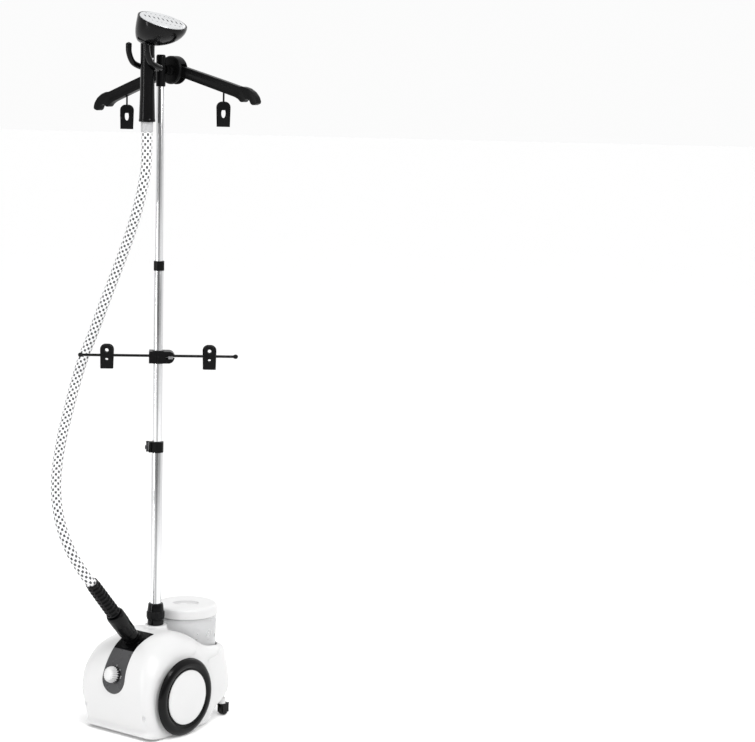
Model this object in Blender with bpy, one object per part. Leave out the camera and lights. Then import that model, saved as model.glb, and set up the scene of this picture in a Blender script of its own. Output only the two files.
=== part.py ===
"""Upright garment steamer: a wheeled base with a water tank, a telescoping pole, a clip bar,
a folding hanger, and a steam handset on a hose.

Metres, +Z up, +X to the object's right, -Y towards its user. Everything is laid out from the
pole's axis; one empty then shifts the whole assembly so that the origin is the middle of its
footprint. Moving pieces have their origin, or their parent empty, on their joint's axis.
"""
from math import atan2, cos, pi, radians, sin, sqrt

import bmesh
import bpy
from mathutils import Matrix, Vector

# ------------------------------------------------------------------ driving dimensions
GAP = 0.0003                     # between pieces that touch
SHIFT_X = -0.0043                  # pole axis, seen from the middle of the footprint
SHIFT_Y = -0.0264

BODY_HALF_WIDTH = 0.1045
WALL = 0.003                     # moulded housing
TANK_Y = 0.103                   # tank axis behind the pole
SEAT_RADIUS = 0.0742
TANK_RADIUS = 0.0705
TANK_RIM_Z = 0.2355
LID_TOP_Z = 0.2600

WHEEL_RADIUS = 0.0875
WHEEL_Y = -0.0265
WHEEL_INNER_X = 0.1063
TYRE_WIDTH = 0.0180
HUB_RADIUS = 0.0612
AXLE_RADIUS = 0.004
CASTER_X = 0.078
CASTER_Y = 0.142
CASTER_RADIUS = 0.0115
CASTER_TRAIL = 0.006
FOOT_X = 0.0835
FOOT_Y = -0.082

LOWER_R, MIDDLE_R, UPPER_R = 0.0125, 0.0102, 0.0086     # pole sections, outer
TUBE_WALL = 0.0012
LOWER_TOP, MIDDLE_TOP, UPPER_TOP = 0.640, 1.045, 1.498
CLAMP_Z = 0.2288                 # underside of the clamp on the housing's boss

PANEL_HALF_WIDTH = 0.033
KNOB_Z = 0.137
KNOB_RADIUS = 0.0195
SOCKET_RIM = Vector((0.0, -0.079, 0.214))
SOCKET_TILT = radians(41.0)      # hose socket, forward of straight up
SOCKET_R = 0.0180
COUPLING_LENGTH = 0.085

BAR_Z = 0.8395
BAR_TURN = radians(41.4)         # the bar is clamped at this angle about the pole
BAR_HALF = 0.178
BAR_SET_BACK = 0.0155            # rod, behind the pole's axis
BAR_CLIP_X = 0.114
ROD_R = 0.003
CLIP_HEIGHT_UP, CLIP_HEIGHT_DOWN = 0.0245, 0.0300

HUB_Y, HUB_Z = 0.042, 1.472      # hanger hub, behind the pole's top
HUB_R = 0.031
ARM_PIVOT_X = 0.016
ARM_DROOP = {"left": radians(20.5), "right": radians(14.0)}
ARM_HALF_THICK = 0.0075
HANG_X = 0.135                   # clip hook along an arm

HANDLE_Y = -0.043                # handset, in front of the pole
HANDLE_BOTTOM, HANDLE_TOP = 1.359, 1.531
HEAD_CENTRE = Vector((0.043, -0.043, 1.577))
HEAD_TILT = radians(23.0)        # steam plate, nose down
HEAD_HALF_LENGTH, HEAD_HALF_WIDTH = 0.0505, 0.060
HEAD_BULGE = 0.011                # how far the bowl swells beyond its high end

HOSE_R = 0.0115
# Hose centreline from the coupling up to the handset, in metres from the pole's axis.
HOSE_ROUTE = [
    (0.000, -0.1371, 0.2808), (0.000, -0.1616, 0.3090), (0.000, -0.1862, 0.3373),
    (0.000, -0.2036, 0.3575), (-0.005, -0.2210, 0.3790), (-0.028, -0.2430, 0.4330),
    (-0.061, -0.2430, 0.4960), (-0.096, -0.2200, 0.5640), (-0.128, -0.1760, 0.6410),
    (-0.154, -0.1210, 0.7250), (-0.166, -0.0720, 0.8150), (-0.153, -0.0470, 0.8850),
    (-0.129, -0.0380, 0.9520), (-0.103, -0.0320, 1.0150), (-0.079, -0.0310, 1.0660),
    (-0.054, -0.0345, 1.1150), (-0.030, -0.0400, 1.1640), (-0.012, -0.0430, 1.2120),
    (-0.003, -0.0430, 1.2530), (0.000, -0.0430, 1.3000), (0.000, -0.0430, 1.3450),
    (0.000, -0.0430, 1.3850),
]

# Housing outline in the middle plane: (y, z, edge radius towards the sides, underside?)
BODY_OUTLINE = [
    (-0.106, 0.004, 0.018, True), (-0.121, 0.024, 0.020, False), (-0.1335, 0.062, 0.022, False),
    (-0.139, 0.100, 0.022, False), (-0.1345, 0.135, 0.025, False), (-0.1225, 0.165, 0.035, False),
    (-0.098, 0.195, 0.050, False), (-0.058, 0.2145, 0.070, False), (-0.010, 0.2215, 0.070, False),
    (0.040, 0.2085, 0.070, False), (0.095, 0.182, 0.060, False), (0.150, 0.166, 0.035, False),
    (0.182, 0.157, 0.016, False), (0.1935, 0.130, 0.014, False), (0.204, 0.092, 0.014, False),
    (0.208, 0.062, 0.014, False), (0.190, 0.045, 0.010, True), (0.165, 0.036, 0.010, True),
    (0.090, 0.008, 0.010, True),
]
REAR_START = 0.050               # behind this the housing rounds in around the tank
REAR_POWER = 2.2
STATIONS = (0.0, 0.38, 0.64, 0.82, 0.93, 0.98, 1.0)

COLOURS = {
    "white_plastic": ((0.86, 0.86, 0.85), 0.28, 0.0, 1.0),
    "black_plastic": ((0.015, 0.015, 0.016), 0.35, 0.0, 1.0),
    "dark_panel": ((0.05, 0.05, 0.055), 0.25, 0.0, 1.0),
    "tyre_black": ((0.008, 0.008, 0.009), 0.12, 0.0, 1.0),
    "tank_plastic": ((0.80, 0.82, 0.84), 0.15, 0.0, 0.55),
    "smoke_plastic": ((0.45, 0.46, 0.48), 0.2, 0.0, 0.7),
    "aluminium": ((0.72, 0.73, 0.75), 0.22, 1.0, 1.0),
    "steel": ((0.60, 0.60, 0.62), 0.3, 1.0, 1.0),
    "cast_metal": ((0.45, 0.45, 0.46), 0.5, 1.0, 1.0),
    "hose_fabric": ((0.78, 0.78, 0.78), 0.8, 0.0, 1.0),
    "rubber": ((0.02, 0.02, 0.02), 0.7, 0.0, 1.0),
}


# ------------------------------------------------------------------ modelling helpers
def clear_scene():
    for obj in list(bpy.data.objects):
        bpy.data.objects.remove(obj, do_unlink=True)


def material(name):
    """A node's own material, with the look named in COLOURS."""
    def make(look):
        mat = bpy.data.materials.new(name)
        colour, rough, metal, alpha = COLOURS[look]
        mat.use_nodes = True
        shader = mat.node_tree.nodes["Principled BSDF"]
        shader.inputs["Base Color"].default_value = (*colour, 1.0)
        shader.inputs["Roughness"].default_value = rough
        shader.inputs["Metallic"].default_value = metal
        shader.inputs["Alpha"].default_value = alpha
        return mat
    return make


def empty(name, parent=None, location=(0, 0, 0), rotation=(0, 0, 0)):
    """A frame to hang pieces on. It isn't a piece itself."""
    frame = bpy.data.objects.new(name, None)
    bpy.context.collection.objects.link(frame)
    frame.location = location
    frame.rotation_euler = rotation
    frame.parent = parent
    return frame


def solid(name, verts, faces):
    """A closed mesh object with its faces turned outwards."""
    mesh = bpy.data.meshes.new(name)
    build = bmesh.new()
    placed = [build.verts.new(v) for v in verts]
    for face in faces:
        build.faces.new([placed[i] for i in face])
    bmesh.ops.recalc_face_normals(build, faces=build.faces)
    build.to_mesh(mesh)
    build.free()
    obj = bpy.data.objects.new(name, mesh)
    bpy.context.collection.objects.link(obj)
    return obj


def rings_solid(name, rings, closed_loop=False):
    """Bridges rings of equal length. The ends are capped, unless the last ring meets the first."""
    count = len(rings[0])
    verts = [point for ring in rings for point in ring]
    faces = []
    spans = len(rings) if closed_loop else len(rings) - 1
    for i in range(spans):
        a, b = i * count, ((i + 1) % len(rings)) * count
        faces += [(a + j, a + (j + 1) % count, b + (j + 1) % count, b + j) for j in range(count)]
    if not closed_loop:
        last = (len(rings) - 1) * count
        faces.append(tuple(range(count)))
        faces.append(tuple(last + j for j in range(count)))
    return solid(name, verts, faces)


def turned(name, profile, sides=24, phase=0.0):
    """Turns (radius, height) points about local Z. A profile that starts and ends on the axis is
    a solid of revolution; any other is a closed loop, which makes a ring."""
    on_axis = profile[0][0] == 0.0
    verts, rows = [], []
    for radius, height in profile:
        if radius == 0.0:
            rows.append([len(verts)])
            verts.append((0.0, 0.0, height))
            continue
        rows.append([len(verts) + k for k in range(sides)])
        for k in range(sides):
            angle = phase + 2 * pi * k / sides
            verts.append((radius * cos(angle), radius * sin(angle), height))
    pairs = list(zip(rows, rows[1:])) + ([] if on_axis else [(rows[-1], rows[0])])
    faces = []
    for low, high in pairs:
        for k in range(sides):
            n = (k + 1) % sides
            if len(low) == 1 and len(high) == 1:
                continue
            if len(low) == 1:
                faces.append((low[0], high[n], high[k]))
            elif len(high) == 1:
                faces.append((low[k], low[n], high[0]))
            else:
                faces.append((low[k], low[n], high[n], high[k]))
    return solid(name, verts, faces)


def prism(name, outline, low, high):
    """Extrudes an (x, y) outline from z = low to z = high."""
    return rings_solid(name, [[(x, y, low) for x, y in outline], [(x, y, high) for x, y in outline]])


def box(name, low, high):
    outline = [(low[0], low[1]), (high[0], low[1]), (high[0], high[1]), (low[0], high[1])]
    return prism(name, outline, low[2], high[2])


def arc(cx, cy, radius, start, end, steps):
    """Points on a circle, from start to end in degrees."""
    angles = [radians(start + (end - start) * k / steps) for k in range(steps + 1)]
    return [(cx + radius * cos(a), cy + radius * sin(a)) for a in angles]


def smooth_path(points, per_span, closed=False):
    """Catmull-Rom curve through the points."""
    pts = [Vector(p) for p in points]
    count = len(pts)
    curve = []
    for i in range(count if closed else count - 1):
        before = pts[i - 1] if (closed or i > 0) else 2 * pts[0] - pts[1]
        a, b = pts[i], pts[(i + 1) % count]
        after = pts[(i + 2) % count] if (closed or i + 2 < count) else 2 * pts[-1] - pts[-2]
        for k in range(per_span):
            t = k / per_span
            curve.append(0.5 * (2 * a + (b - before) * t
                                + (2 * before - 5 * a + 4 * b - after) * t ** 2
                                + (3 * a - before - 3 * b + after) * t ** 3))
    if not closed:
        curve.append(pts[-1])
    return curve


def tube_curve(name, points, radius, resolution=3):
    """A round rod along a path, as a bevelled curve with filled caps."""
    curve = bpy.data.curves.new(name, "CURVE")
    curve.dimensions = "3D"
    curve.bevel_depth = radius
    curve.bevel_resolution = resolution
    curve.use_fill_caps = True
    spline = curve.splines.new("POLY")
    spline.points.add(len(points) - 1)
    for slot, point in zip(spline.points, points):
        slot.co = (*point, 1.0)
    obj = bpy.data.objects.new(name, curve)
    bpy.context.collection.objects.link(obj)
    return obj


def moved(obj, location=(0, 0, 0), rotation=(0, 0, 0)):
    """Moves the mesh itself, so the object's origin stays where it is."""
    turn = Matrix.Rotation(rotation[2], 4, "Z") @ Matrix.Rotation(rotation[1], 4, "Y") \
        @ Matrix.Rotation(rotation[0], 4, "X")
    obj.data.transform(Matrix.Translation(location) @ turn)
    return obj


def combine(target, tools, operation):
    """Applies a Boolean with each tool in turn, and removes the tools."""
    for tool in tools if isinstance(tools, (list, tuple)) else [tools]:
        step = target.modifiers.new(operation.lower(), "BOOLEAN")
        step.operation = operation
        step.object = tool
        step.solver = "EXACT"
        bpy.context.view_layer.update()
        evaluated = target.evaluated_get(bpy.context.evaluated_depsgraph_get())
        mesh = bpy.data.meshes.new_from_object(evaluated)
        target.modifiers.clear()
        target.data = mesh
        bpy.data.objects.remove(tool, do_unlink=True)
    return target


def cut(target, *tools):
    return combine(target, list(tools), "DIFFERENCE")


def join(target, *tools):
    return combine(target, list(tools), "UNION")


def common(target, tool):
    return combine(target, tool, "INTERSECT")


def finish(obj, name, look, parent, location=(0, 0, 0), rotation=(0, 0, 0)):
    """Names a piece, gives it its material and hangs it on its parent."""
    obj.name = name
    obj.data.name = name
    obj.data.materials.clear()
    obj.data.materials.append(material(name)(look))
    if obj.type == "MESH":
        obj.data.shade_smooth()
        obj.data.set_sharp_from_angle(angle=radians(35))
    obj.parent = parent
    obj.location = location
    obj.rotation_euler = rotation
    return obj


def copy_of(obj):
    twin = obj.copy()
    twin.data = obj.data.copy()
    bpy.context.collection.objects.link(twin)
    return twin


# ------------------------------------------------------------------ housing surface
def outline_curve(per_span):
    """The housing's middle outline as (y, z, edge radius, is underside)."""
    loop = [Vector((y, z, r)) for y, z, r, _ in BODY_OUTLINE]
    flags = [under for *_, under in BODY_OUTLINE]
    points = []
    for i, point in enumerate(smooth_path(loop, per_span, closed=True)):
        start = i // per_span
        under = flags[start] and flags[(start + 1) % len(flags)]
        points.append((point.x, point.y, max(point.z, 0.003), under or (flags[start] and i % per_span == 0)))
    return points


def outward(points, i):
    """Unit normal of a closed (y, z) outline that runs up the front and over the top."""
    before, after = points[i - 1], points[(i + 1) % len(points)]
    dy, dz = after[0] - before[0], after[1] - before[1]
    length = sqrt(dy * dy + dz * dz) or 1.0
    return -dz / length, dy / length


def housing(name, offset=0.0, drop=0.0, per_span=2):
    """The housing's outer form as a solid, offset inwards, with its underside dropped by drop."""
    middle = outline_curve(per_span)
    half = BODY_HALF_WIDTH - offset
    rings = []
    for share in [-s for s in reversed(STATIONS[1:])] + list(STATIONS):
        across = abs(share) * BODY_HALF_WIDTH
        rear = (1 - (0.98 * abs(share)) ** REAR_POWER) ** (1 / REAR_POWER)
        section = []
        for y, z, radius, under in middle:
            if y > REAR_START:
                y = REAR_START + (y - REAR_START) * rear
            section.append((y, z, radius, under))
        ring = []
        for i, (y, z, radius, under) in enumerate(section):
            ny, nz = outward(section, i)
            reach = max(0.0, across - (BODY_HALF_WIDTH - radius))
            inset = offset + radius - sqrt(max(0.0, radius ** 2 - reach ** 2))
            ring.append((share * half, y - ny * inset, z - nz * inset - (drop if under else 0.0)))
        rings.append(ring)
    return rings_solid(name, rings)


def front_point(height):
    """Point (y, z) and outward normal of the housing's front at a height, in the middle plane."""
    points = outline_curve(8)
    front = [(y, z) for y, z, _, under in points if y < 0.0 and not under]
    index = min(range(1, len(front) - 1), key=lambda i: abs(front[i][1] - height))
    (y, z), before, after = front[index], front[index - 1], front[index + 1]
    dy, dz = after[0] - before[0], after[1] - before[1]
    length = sqrt(dy * dy + dz * dz)
    return Vector((0.0, y, z)), Vector((0.0, -dz / length, dy / length))


def panel_solid(name, below, above, grow):
    """The bent control strip: round below, square-shouldered at its top."""
    points = [(y, z) for y, z, _, under in outline_curve(4) if not under and 0.09 < z and y < -0.036]
    lengths = [0.0]
    for a, b in zip(points, points[1:]):
        lengths.append(lengths[-1] + sqrt((b[0] - a[0]) ** 2 + (b[1] - a[1]) ** 2))
    total = lengths[-1]
    start = 0.006

    def at(distance):
        distance = min(max(distance, 0.0), total)
        k = next((i for i, s in enumerate(lengths) if s >= distance), len(lengths) - 1) or 1
        t = (distance - lengths[k - 1]) / (lengths[k] - lengths[k - 1])
        a, b = points[k - 1], points[k]
        length = lengths[k] - lengths[k - 1]
        normal = (-(b[1] - a[1]) / length, (b[0] - a[0]) / length)
        return a[0] + (b[0] - a[0]) * t, a[1] + (b[1] - a[1]) * t, normal

    radius = PANEL_HALF_WIDTH
    round_end = [radius * (1 - cos(radians(a))) for a in (12, 30, 50, 70, 90)]
    steps = round_end + [radius + (total - start - radius) * k / 8 for k in range(1, 9)]
    rings = []
    for step in steps:
        width = sqrt(max(0.0, radius ** 2 - (radius - step) ** 2)) if step < radius else radius
        waist = 1.0 - 0.10 * sin(pi * max(0.0, min(1.0, (step - radius) / (total - radius))))
        width = width * waist + grow
        y, z, normal = at(start + step + (grow if step == steps[-1] else 0.0) - (grow if step == steps[0] else 0.0))
        low, high = -below, above
        rings.append([(-width, y + normal[0] * low, z + normal[1] * low),
                      (width, y + normal[0] * low, z + normal[1] * low),
                      (width, y + normal[0] * high, z + normal[1] * high),
                      (-width, y + normal[0] * high, z + normal[1] * high)])
    return rings_solid(name, rings)


def height_angle(normal):
    """Height angle of a forward-facing normal, above the horizontal."""
    return atan2(normal.z, -normal.y)


# ------------------------------------------------------------------ base
def aim_up(obj, location, tilt):
    """Tips a piece made about local Z forward by tilt, with its z = 0 at location."""
    return moved(obj, location, (tilt, 0, 0))


def make_housing(root):
    shell = housing("shell")
    boss = turned("boss", [(0, 0.19), (0.0275, 0.19), (0.0275, 0.2215), (0.0255, 0.2260),
                           (0.0240, CLAMP_Z - GAP), (0, CLAMP_Z - GAP)], 28)
    join(shell, boss)
    cut(shell, housing("inside", WALL, 0.03, 1))
    tank_well = moved(turned("well", [(0, 0.10), (SEAT_RADIUS + GAP, 0.10), (SEAT_RADIUS + GAP, 0.25),
                                      (0, 0.25)], 32), (0, TANK_Y, 0))
    pole_hole = turned("hole", [(0, 0.15), (0.0158, 0.15), (0.0158, 0.25), (0, 0.25)], 24)
    socket_hole = aim_up(turned("hole", [(0, -0.045), (SOCKET_R + GAP, -0.045), (SOCKET_R + GAP, 0.02), (0, 0.02)], 20),
                         SOCKET_RIM, SOCKET_TILT)
    axle_hole = moved(turned("hole", [(0, -0.13), (0.0055, -0.13), (0.0055, 0.13), (0, 0.13)], 16),
                      (0, WHEEL_Y, WHEEL_RADIUS), (0, pi / 2, 0))
    knob_point, knob_normal = front_point(KNOB_Z)
    shaft_hole = aim_up(turned("hole", [(0, -0.02), (0.0065, -0.02), (0.0065, 0.02), (0, 0.02)], 16),
                        knob_point, pi / 2 - height_angle(knob_normal))
    inlet_hole = moved(turned("hole", [(0, -0.02), (0.0078, -0.02), (0.0078, 0.02), (0, 0.02)], 16),
                       (-0.045, 0.197, 0.075), (pi / 2, 0, 0))
    cut(shell, tank_well, pole_hole, panel_solid("recess", 0.0019, 0.02, GAP), socket_hole, axle_hole,
        shaft_hole, inlet_hole)
    for side in (-1, 1):
        dimple = moved(turned("dimple", [(0, -0.012), (0.0045, -0.012), (0.0045, 0.01), (0, 0.01)], 12),
                       (side * 0.088, -0.1335, 0.0545), (pi / 2, 0, 0))
        cut(shell, dimple)
    finish(shell, "body_shell", "white_plastic", root)

    seat = turned("seat", [(0.0065, 0.0775), (SEAT_RADIUS, 0.0775), (SEAT_RADIUS, 0.24),
                           (SEAT_RADIUS - 0.002, 0.24), (SEAT_RADIUS - 0.002, 0.0800), (0.0065, 0.0800)], 32)
    moved(seat, (0, TANK_Y, 0))
    common(seat, housing("trim", 0.0002))
    finish(seat, "tank_seat", "white_plastic", root)

    panel = panel_solid("panel", 0.0016, 0.0005, 0.0)
    socket_hole = aim_up(turned("hole", [(0, -0.045), (SOCKET_R + GAP, -0.045), (SOCKET_R + GAP, 0.02), (0, 0.02)], 20),
                         SOCKET_RIM, SOCKET_TILT)
    shaft_hole = aim_up(turned("hole", [(0, -0.02), (0.0065, -0.02), (0.0065, 0.02), (0, 0.02)], 16),
                        knob_point, pi / 2 - height_angle(knob_normal))
    cut(panel, socket_hole, shaft_hole)
    finish(panel, "control_panel", "dark_panel", root)


def make_tray(root):
    """The floor plate, with the front feet, the pole's post, the axle brackets and caster bosses."""
    rings = []
    shares = (0.0, 0.30, 0.55, 0.75, 0.88, 0.95)
    for share in [-s for s in reversed(shares[1:])] + list(shares):
        rear = (1 - (0.98 * abs(share)) ** REAR_POWER) ** (1 / REAR_POWER)
        front = -0.1060 + 0.016 * abs(share) ** 8
        line = [(front, 0.0158), (0.088, 0.0158), (0.162, 0.0400), (0.184, 0.0480)]
        line = [(REAR_START + (y - REAR_START) * rear if y > REAR_START else y, z) for y, z in line]
        x = share * (BODY_HALF_WIDTH - WALL - 0.001)
        rings.append([(x, y, z) for y, z in line] + [(x, y, z + 0.0036) for y, z in reversed(line)])
    tray = rings_solid("tray", rings)
    join(tray, turned("post", [(0, 0.0170), (0.0190, 0.0170), (0.0190, 0.0230), (0, 0.0230)], 20))
    for side in (-1, 1):
        foot = turned("foot", [(0, 0.0), (0.0135, 0.0), (0.0155, 0.003), (0.0160, 0.0115), (0.0085, 0.0115),
                               (0.0085, 0.0178), (0, 0.0178)], 18)
        bracket = box("bracket", (side * 0.090 - 0.004, WHEEL_Y - 0.011, 0.0175),
                      (side * 0.090 + 0.004, WHEEL_Y + 0.011, 0.1000))
        boss = turned("boss", [(0, 0.0281), (0.0090, 0.0281), (0.0090, 0.0412), (0, 0.0412)], 16, 0.1)
        join(tray, moved(foot, (side * FOOT_X, FOOT_Y, 0)), bracket, moved(boss, (side * CASTER_X, CASTER_Y, 0)))
    bore = moved(turned("bore", [(0, -0.12), (0.0043, -0.12), (0.0043, 0.12), (0, 0.12)], 14),
                 (0, WHEEL_Y, WHEEL_RADIUS), (0, pi / 2, 0))
    cut(tray, bore)
    for side in (-1, 1):
        stem_hole = turned("stem_hole", [(0, 0.01), (0.0036, 0.01), (0.0036, 0.07), (0, 0.07)], 14, 0.1)
        cut(tray, moved(stem_hole, (side * CASTER_X, CASTER_Y, 0)))
    finish(tray, "base_tray", "white_plastic", root)


def turned_at(name, profile, sides, location):
    return moved(turned(name, profile, sides), location)


def make_inner_works(root):
    receiver = turned("receiver", [(0, 0.0233), (0.0155, 0.0233), (0.0155, CLAMP_Z - GAP),
                                   (LOWER_R + GAP, CLAMP_Z - GAP), (LOWER_R + GAP, 0.0270), (0, 0.0270)], 24)
    finish(receiver, "pole_receiver", "white_plastic", root)
    boiler = turned_at("boiler", [(0, 0.0245), (0.027, 0.0245), (0.030, 0.0275), (0.030, 0.0690), (0.026, 0.0735),
                                  (0.008, 0.0735), (0.008, 0.0790), (0, 0.0790)], 24, (0.0, -0.082, 0))
    finish(boiler, "steam_boiler", "cast_metal", root)
    point, normal = front_point(KNOB_Z)
    tilt = pi / 2 - height_angle(normal)
    switch = turned("switch", [(0, -0.024), (0.0125, -0.024), (0.0125, -0.0075), (0.0058, -0.0075),
                               (0.0058, 0.0), (0.0030, 0.0), (0.0030, 0.0135), (0, 0.0135)], 16)
    finish(aim_up(switch, point, tilt), "rotary_switch", "steel", root)


def make_cord_inlet(root):
    """The gland where the mains lead enters, in the rear wall."""
    gland = turned("gland", [(0.0040, -0.0085), (0.0070, -0.0085), (0.0070, 0.0050), (0.0095, 0.0050),
                             (0.0085, 0.0100), (0.0040, 0.0100)], 16)
    finish(moved(gland, (-0.045, 0.1995, 0.075), (-pi / 2, 0, 0)), "cord_inlet", "rubber", root)


def make_knob(root):
    point, normal = front_point(KNOB_Z)
    seat = point + normal * 0.0010
    knob = turned("knob", [(0, 0.0), (KNOB_RADIUS, 0.0), (KNOB_RADIUS, 0.0035), (0.0178, 0.0055),
                           (0.0170, 0.0160), (0.0130, 0.0195), (0.0060, 0.0210), (0, 0.0212)], 28)
    cut(knob, turned("bore", [(0, -0.01), (0.0062, -0.01), (0.0062, 0.0010), (0.0033, 0.0010),
                              (0.0033, 0.0145), (0, 0.0145)], 16))
    finish(knob, "steam_knob", "white_plastic", root, seat, (pi / 2 - height_angle(normal), 0, 0))


def make_socket_and_hose(root):
    socket = turned("socket", [(0.0136, -0.038), (SOCKET_R, -0.038), (SOCKET_R, 0.0), (0.0136, 0.0)], 20)
    finish(aim_up(socket, SOCKET_RIM, SOCKET_TILT), "hose_socket", "black_plastic", root)

    coupling = turned("coupling", [(0.0060, -0.032), (0.0128, -0.032), (0.0132, 0.0006), (0.0182, 0.0006),
                                   (0.0190, 0.012), (0.0200, 0.040), (0.0205, 0.078),
                                   (0.0190, COUPLING_LENGTH), (0.0060, COUPLING_LENGTH)], 24)
    finish(aim_up(coupling, SOCKET_RIM, SOCKET_TILT), "hose_coupling", "black_plastic", root)

    base, ribs, pitch = COUPLING_LENGTH + GAP, 8, 0.0125
    profile = [(HOSE_R + 0.0008, base)]
    for k in range(ribs):
        crest = 0.0162 - 0.0010 * k / ribs
        profile += [(crest, base + k * pitch), (crest - 0.0020, base + (k + 0.75) * pitch)]
    profile += [(0.0145, base + ribs * pitch), (0.0140, base + 0.110), (HOSE_R + 0.0008, base + 0.110)]
    boot = turned("boot", profile, 16)
    finish(aim_up(boot, SOCKET_RIM, SOCKET_TILT), "hose_boot", "black_plastic", root)

    route = smooth_path(HOSE_ROUTE, 2)
    hose = tube_curve("hose", route, HOSE_R, 3)
    finish(hose, "steam_hose", "hose_fabric", root)


# ------------------------------------------------------------------ tank
def make_tank(root):
    frame = empty("tank_frame", root, (0, TANK_Y, 0))
    tank = turned("tank", [(0.0116, 0.0920), (0.0640, 0.0920), (0.0665, 0.0960), (TANK_RADIUS, TANK_RIM_Z),
                           (TANK_RADIUS - 0.002, TANK_RIM_Z), (0.0648, 0.0975), (0.0630, 0.0945),
                           (0.0116, 0.0945)], 32)
    finish(tank, "water_tank", "tank_plastic", frame)
    lid = turned("lid", [(0, 0.2345), (0.0660, 0.2345), (0.0660, 0.2280), (0.0680, 0.2280), (0.0680, 0.2358),
                         (0.0718, 0.2358), (0.0718, 0.2520), (0.0697, 0.2568), (0.0640, LID_TOP_Z - 0.0004),
                         (0, LID_TOP_Z)], 32)
    grip = turned("grip", [(0, 0.2565), (1, 0.2565), (1, 0.27), (0, 0.27)], 16)
    grip.data.transform(Matrix.Diagonal((0.026, 0.016, 1, 1)))
    cut(lid, moved(grip, (0, -0.022, 0)))
    finish(lid, "tank_lid", "white_plastic", frame)
    cap = turned("cap", [(0.0045, 0.0825), (0.0165, 0.0825), (0.0165, 0.0917), (0.0112, 0.0917),
                         (0.0112, 0.0942), (0.0045, 0.0942)], 20)
    finish(cap, "valve_cap", "black_plastic", frame)
    plunger = turned("plunger", [(0, 0.0790), (0.0041, 0.0790), (0.0041, 0.0945), (0.0085, 0.0945),
                                 (0.0085, 0.0975), (0, 0.0975)], 16)
    finish(plunger, "valve_plunger", "rubber", frame)


# ------------------------------------------------------------------ wheels and casters
def make_wheels(root):
    axle = turned("axle", [(0, -0.1198), (AXLE_RADIUS, -0.1198), (AXLE_RADIUS, 0.1198), (0, 0.1198)], 16)
    finish(axle, "wheel_axle", "steel", root, (0, WHEEL_Y, WHEEL_RADIUS), (0, pi / 2, 0))
    outer = WHEEL_INNER_X + TYRE_WIDTH
    tyre_profile = [(HUB_RADIUS + GAP, WHEEL_INNER_X), (0.0745, WHEEL_INNER_X), (0.0835, WHEEL_INNER_X + 0.0040),
                    (WHEEL_RADIUS, WHEEL_INNER_X + 0.0080), (WHEEL_RADIUS, WHEEL_INNER_X + 0.0100),
                    (0.0848, WHEEL_INNER_X + 0.0135), (0.0785, outer - 0.0012), (0.0700, outer),
                    (HUB_RADIUS + GAP, outer - 0.0016)]
    disc_profile = [(0, 0.1204), (0.0043, 0.1204), (0.0043, WHEEL_INNER_X), (HUB_RADIUS, WHEEL_INNER_X),
                    (HUB_RADIUS, 0.1234), (0.0560, 0.1256), (0, 0.1268)]
    for side, name in ((-1, "left"), (1, "right")):
        frame = empty(f"wheel_{name}_frame", root, (0, WHEEL_Y, WHEEL_RADIUS), (0, side * pi / 2, 0))
        finish(turned("tyre", tyre_profile, 32), f"tyre_{name}", "tyre_black", frame)
        finish(turned("disc", disc_profile, 32), f"wheel_disc_{name}", "white_plastic", frame)


def make_casters(root):
    top = 0.0285
    for side, name in ((-1, "left"), (1, "right")):
        frame = empty(f"caster_{name}_frame", root, (side * CASTER_X, CASTER_Y, 0))
        fork = turned("stem", [(0, 0.0255), (0.0033, 0.0255), (0.0033, 0.0450), (0, 0.0450)], 12)
        plate = box("plate", (-0.0085, -0.0080, 0.0245), (0.0085, 0.0170, top - 0.0012))
        cheeks = [box("cheek", (s * 0.0072 - 0.0013, -0.0040, 0.0060), (s * 0.0072 + 0.0013, 0.0160, 0.0255))
                  for s in (-1, 1)]
        fork = join(plate, fork, *cheeks)
        pin_hole = moved(turned("hole", [(0, -0.02), (0.0019, -0.02), (0.0019, 0.02), (0, 0.02)], 12),
                         (0, CASTER_TRAIL, CASTER_RADIUS), (0, pi / 2, 0))
        cut(fork, pin_hole)
        finish(fork, f"caster_fork_{name}", "black_plastic", frame)
        wheel = turned("wheel", [(0, -0.0083), (0.0016, -0.0083), (0.0016, -0.0055),
                                 (CASTER_RADIUS, -0.0055), (CASTER_RADIUS, 0.0055),
                                 (0.0016, 0.0055), (0.0016, 0.0083), (0, 0.0083)], 16)
        finish(wheel, f"caster_wheel_{name}", "rubber", frame, (0, CASTER_TRAIL, CASTER_RADIUS), (0, pi / 2, 0))


# ------------------------------------------------------------------ pole
def make_pole(root):
    seat = turned("seat", [(LOWER_R + GAP, CLAMP_Z), (0.0180, CLAMP_Z), (0.0180, 0.2412), (0.0148, 0.2412),
                           (0.0148, 0.2600), (LOWER_R + GAP, 0.2600)], 18)
    finish(seat, "pole_clamp_seat", "black_plastic", root)
    nut = turned("nut", [(0.0152, 0.2415), (0.0205, 0.2415), (0.0207, 0.2585), (0.0188, 0.2597),
                         (0.0163, 0.2777), (LOWER_R + GAP, 0.2777), (LOWER_R + GAP, 0.2640), (0.0152, 0.2606)], 18)
    finish(nut, "pole_clamp_nut", "black_plastic", root)
    for name, radius, low, high in (("lower_pole", LOWER_R, 0.0273, LOWER_TOP),
                                    ("middle_pole", MIDDLE_R, 0.470, MIDDLE_TOP),
                                    ("upper_pole", UPPER_R, 0.720, UPPER_TOP)):
        inner = radius - TUBE_WALL
        tube = turned(name, [(inner, low), (radius, low), (radius, high), (inner, high)], 18)
        finish(tube, name, "aluminium", root)
    make_flip_lock(root, "lower", 0.624, 0.648, LOWER_R, MIDDLE_R, LOWER_TOP, radians(42.4))
    make_flip_lock(root, "upper", 1.032, 1.053, MIDDLE_R, UPPER_R, MIDDLE_TOP, radians(42.4 - 90))


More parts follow.
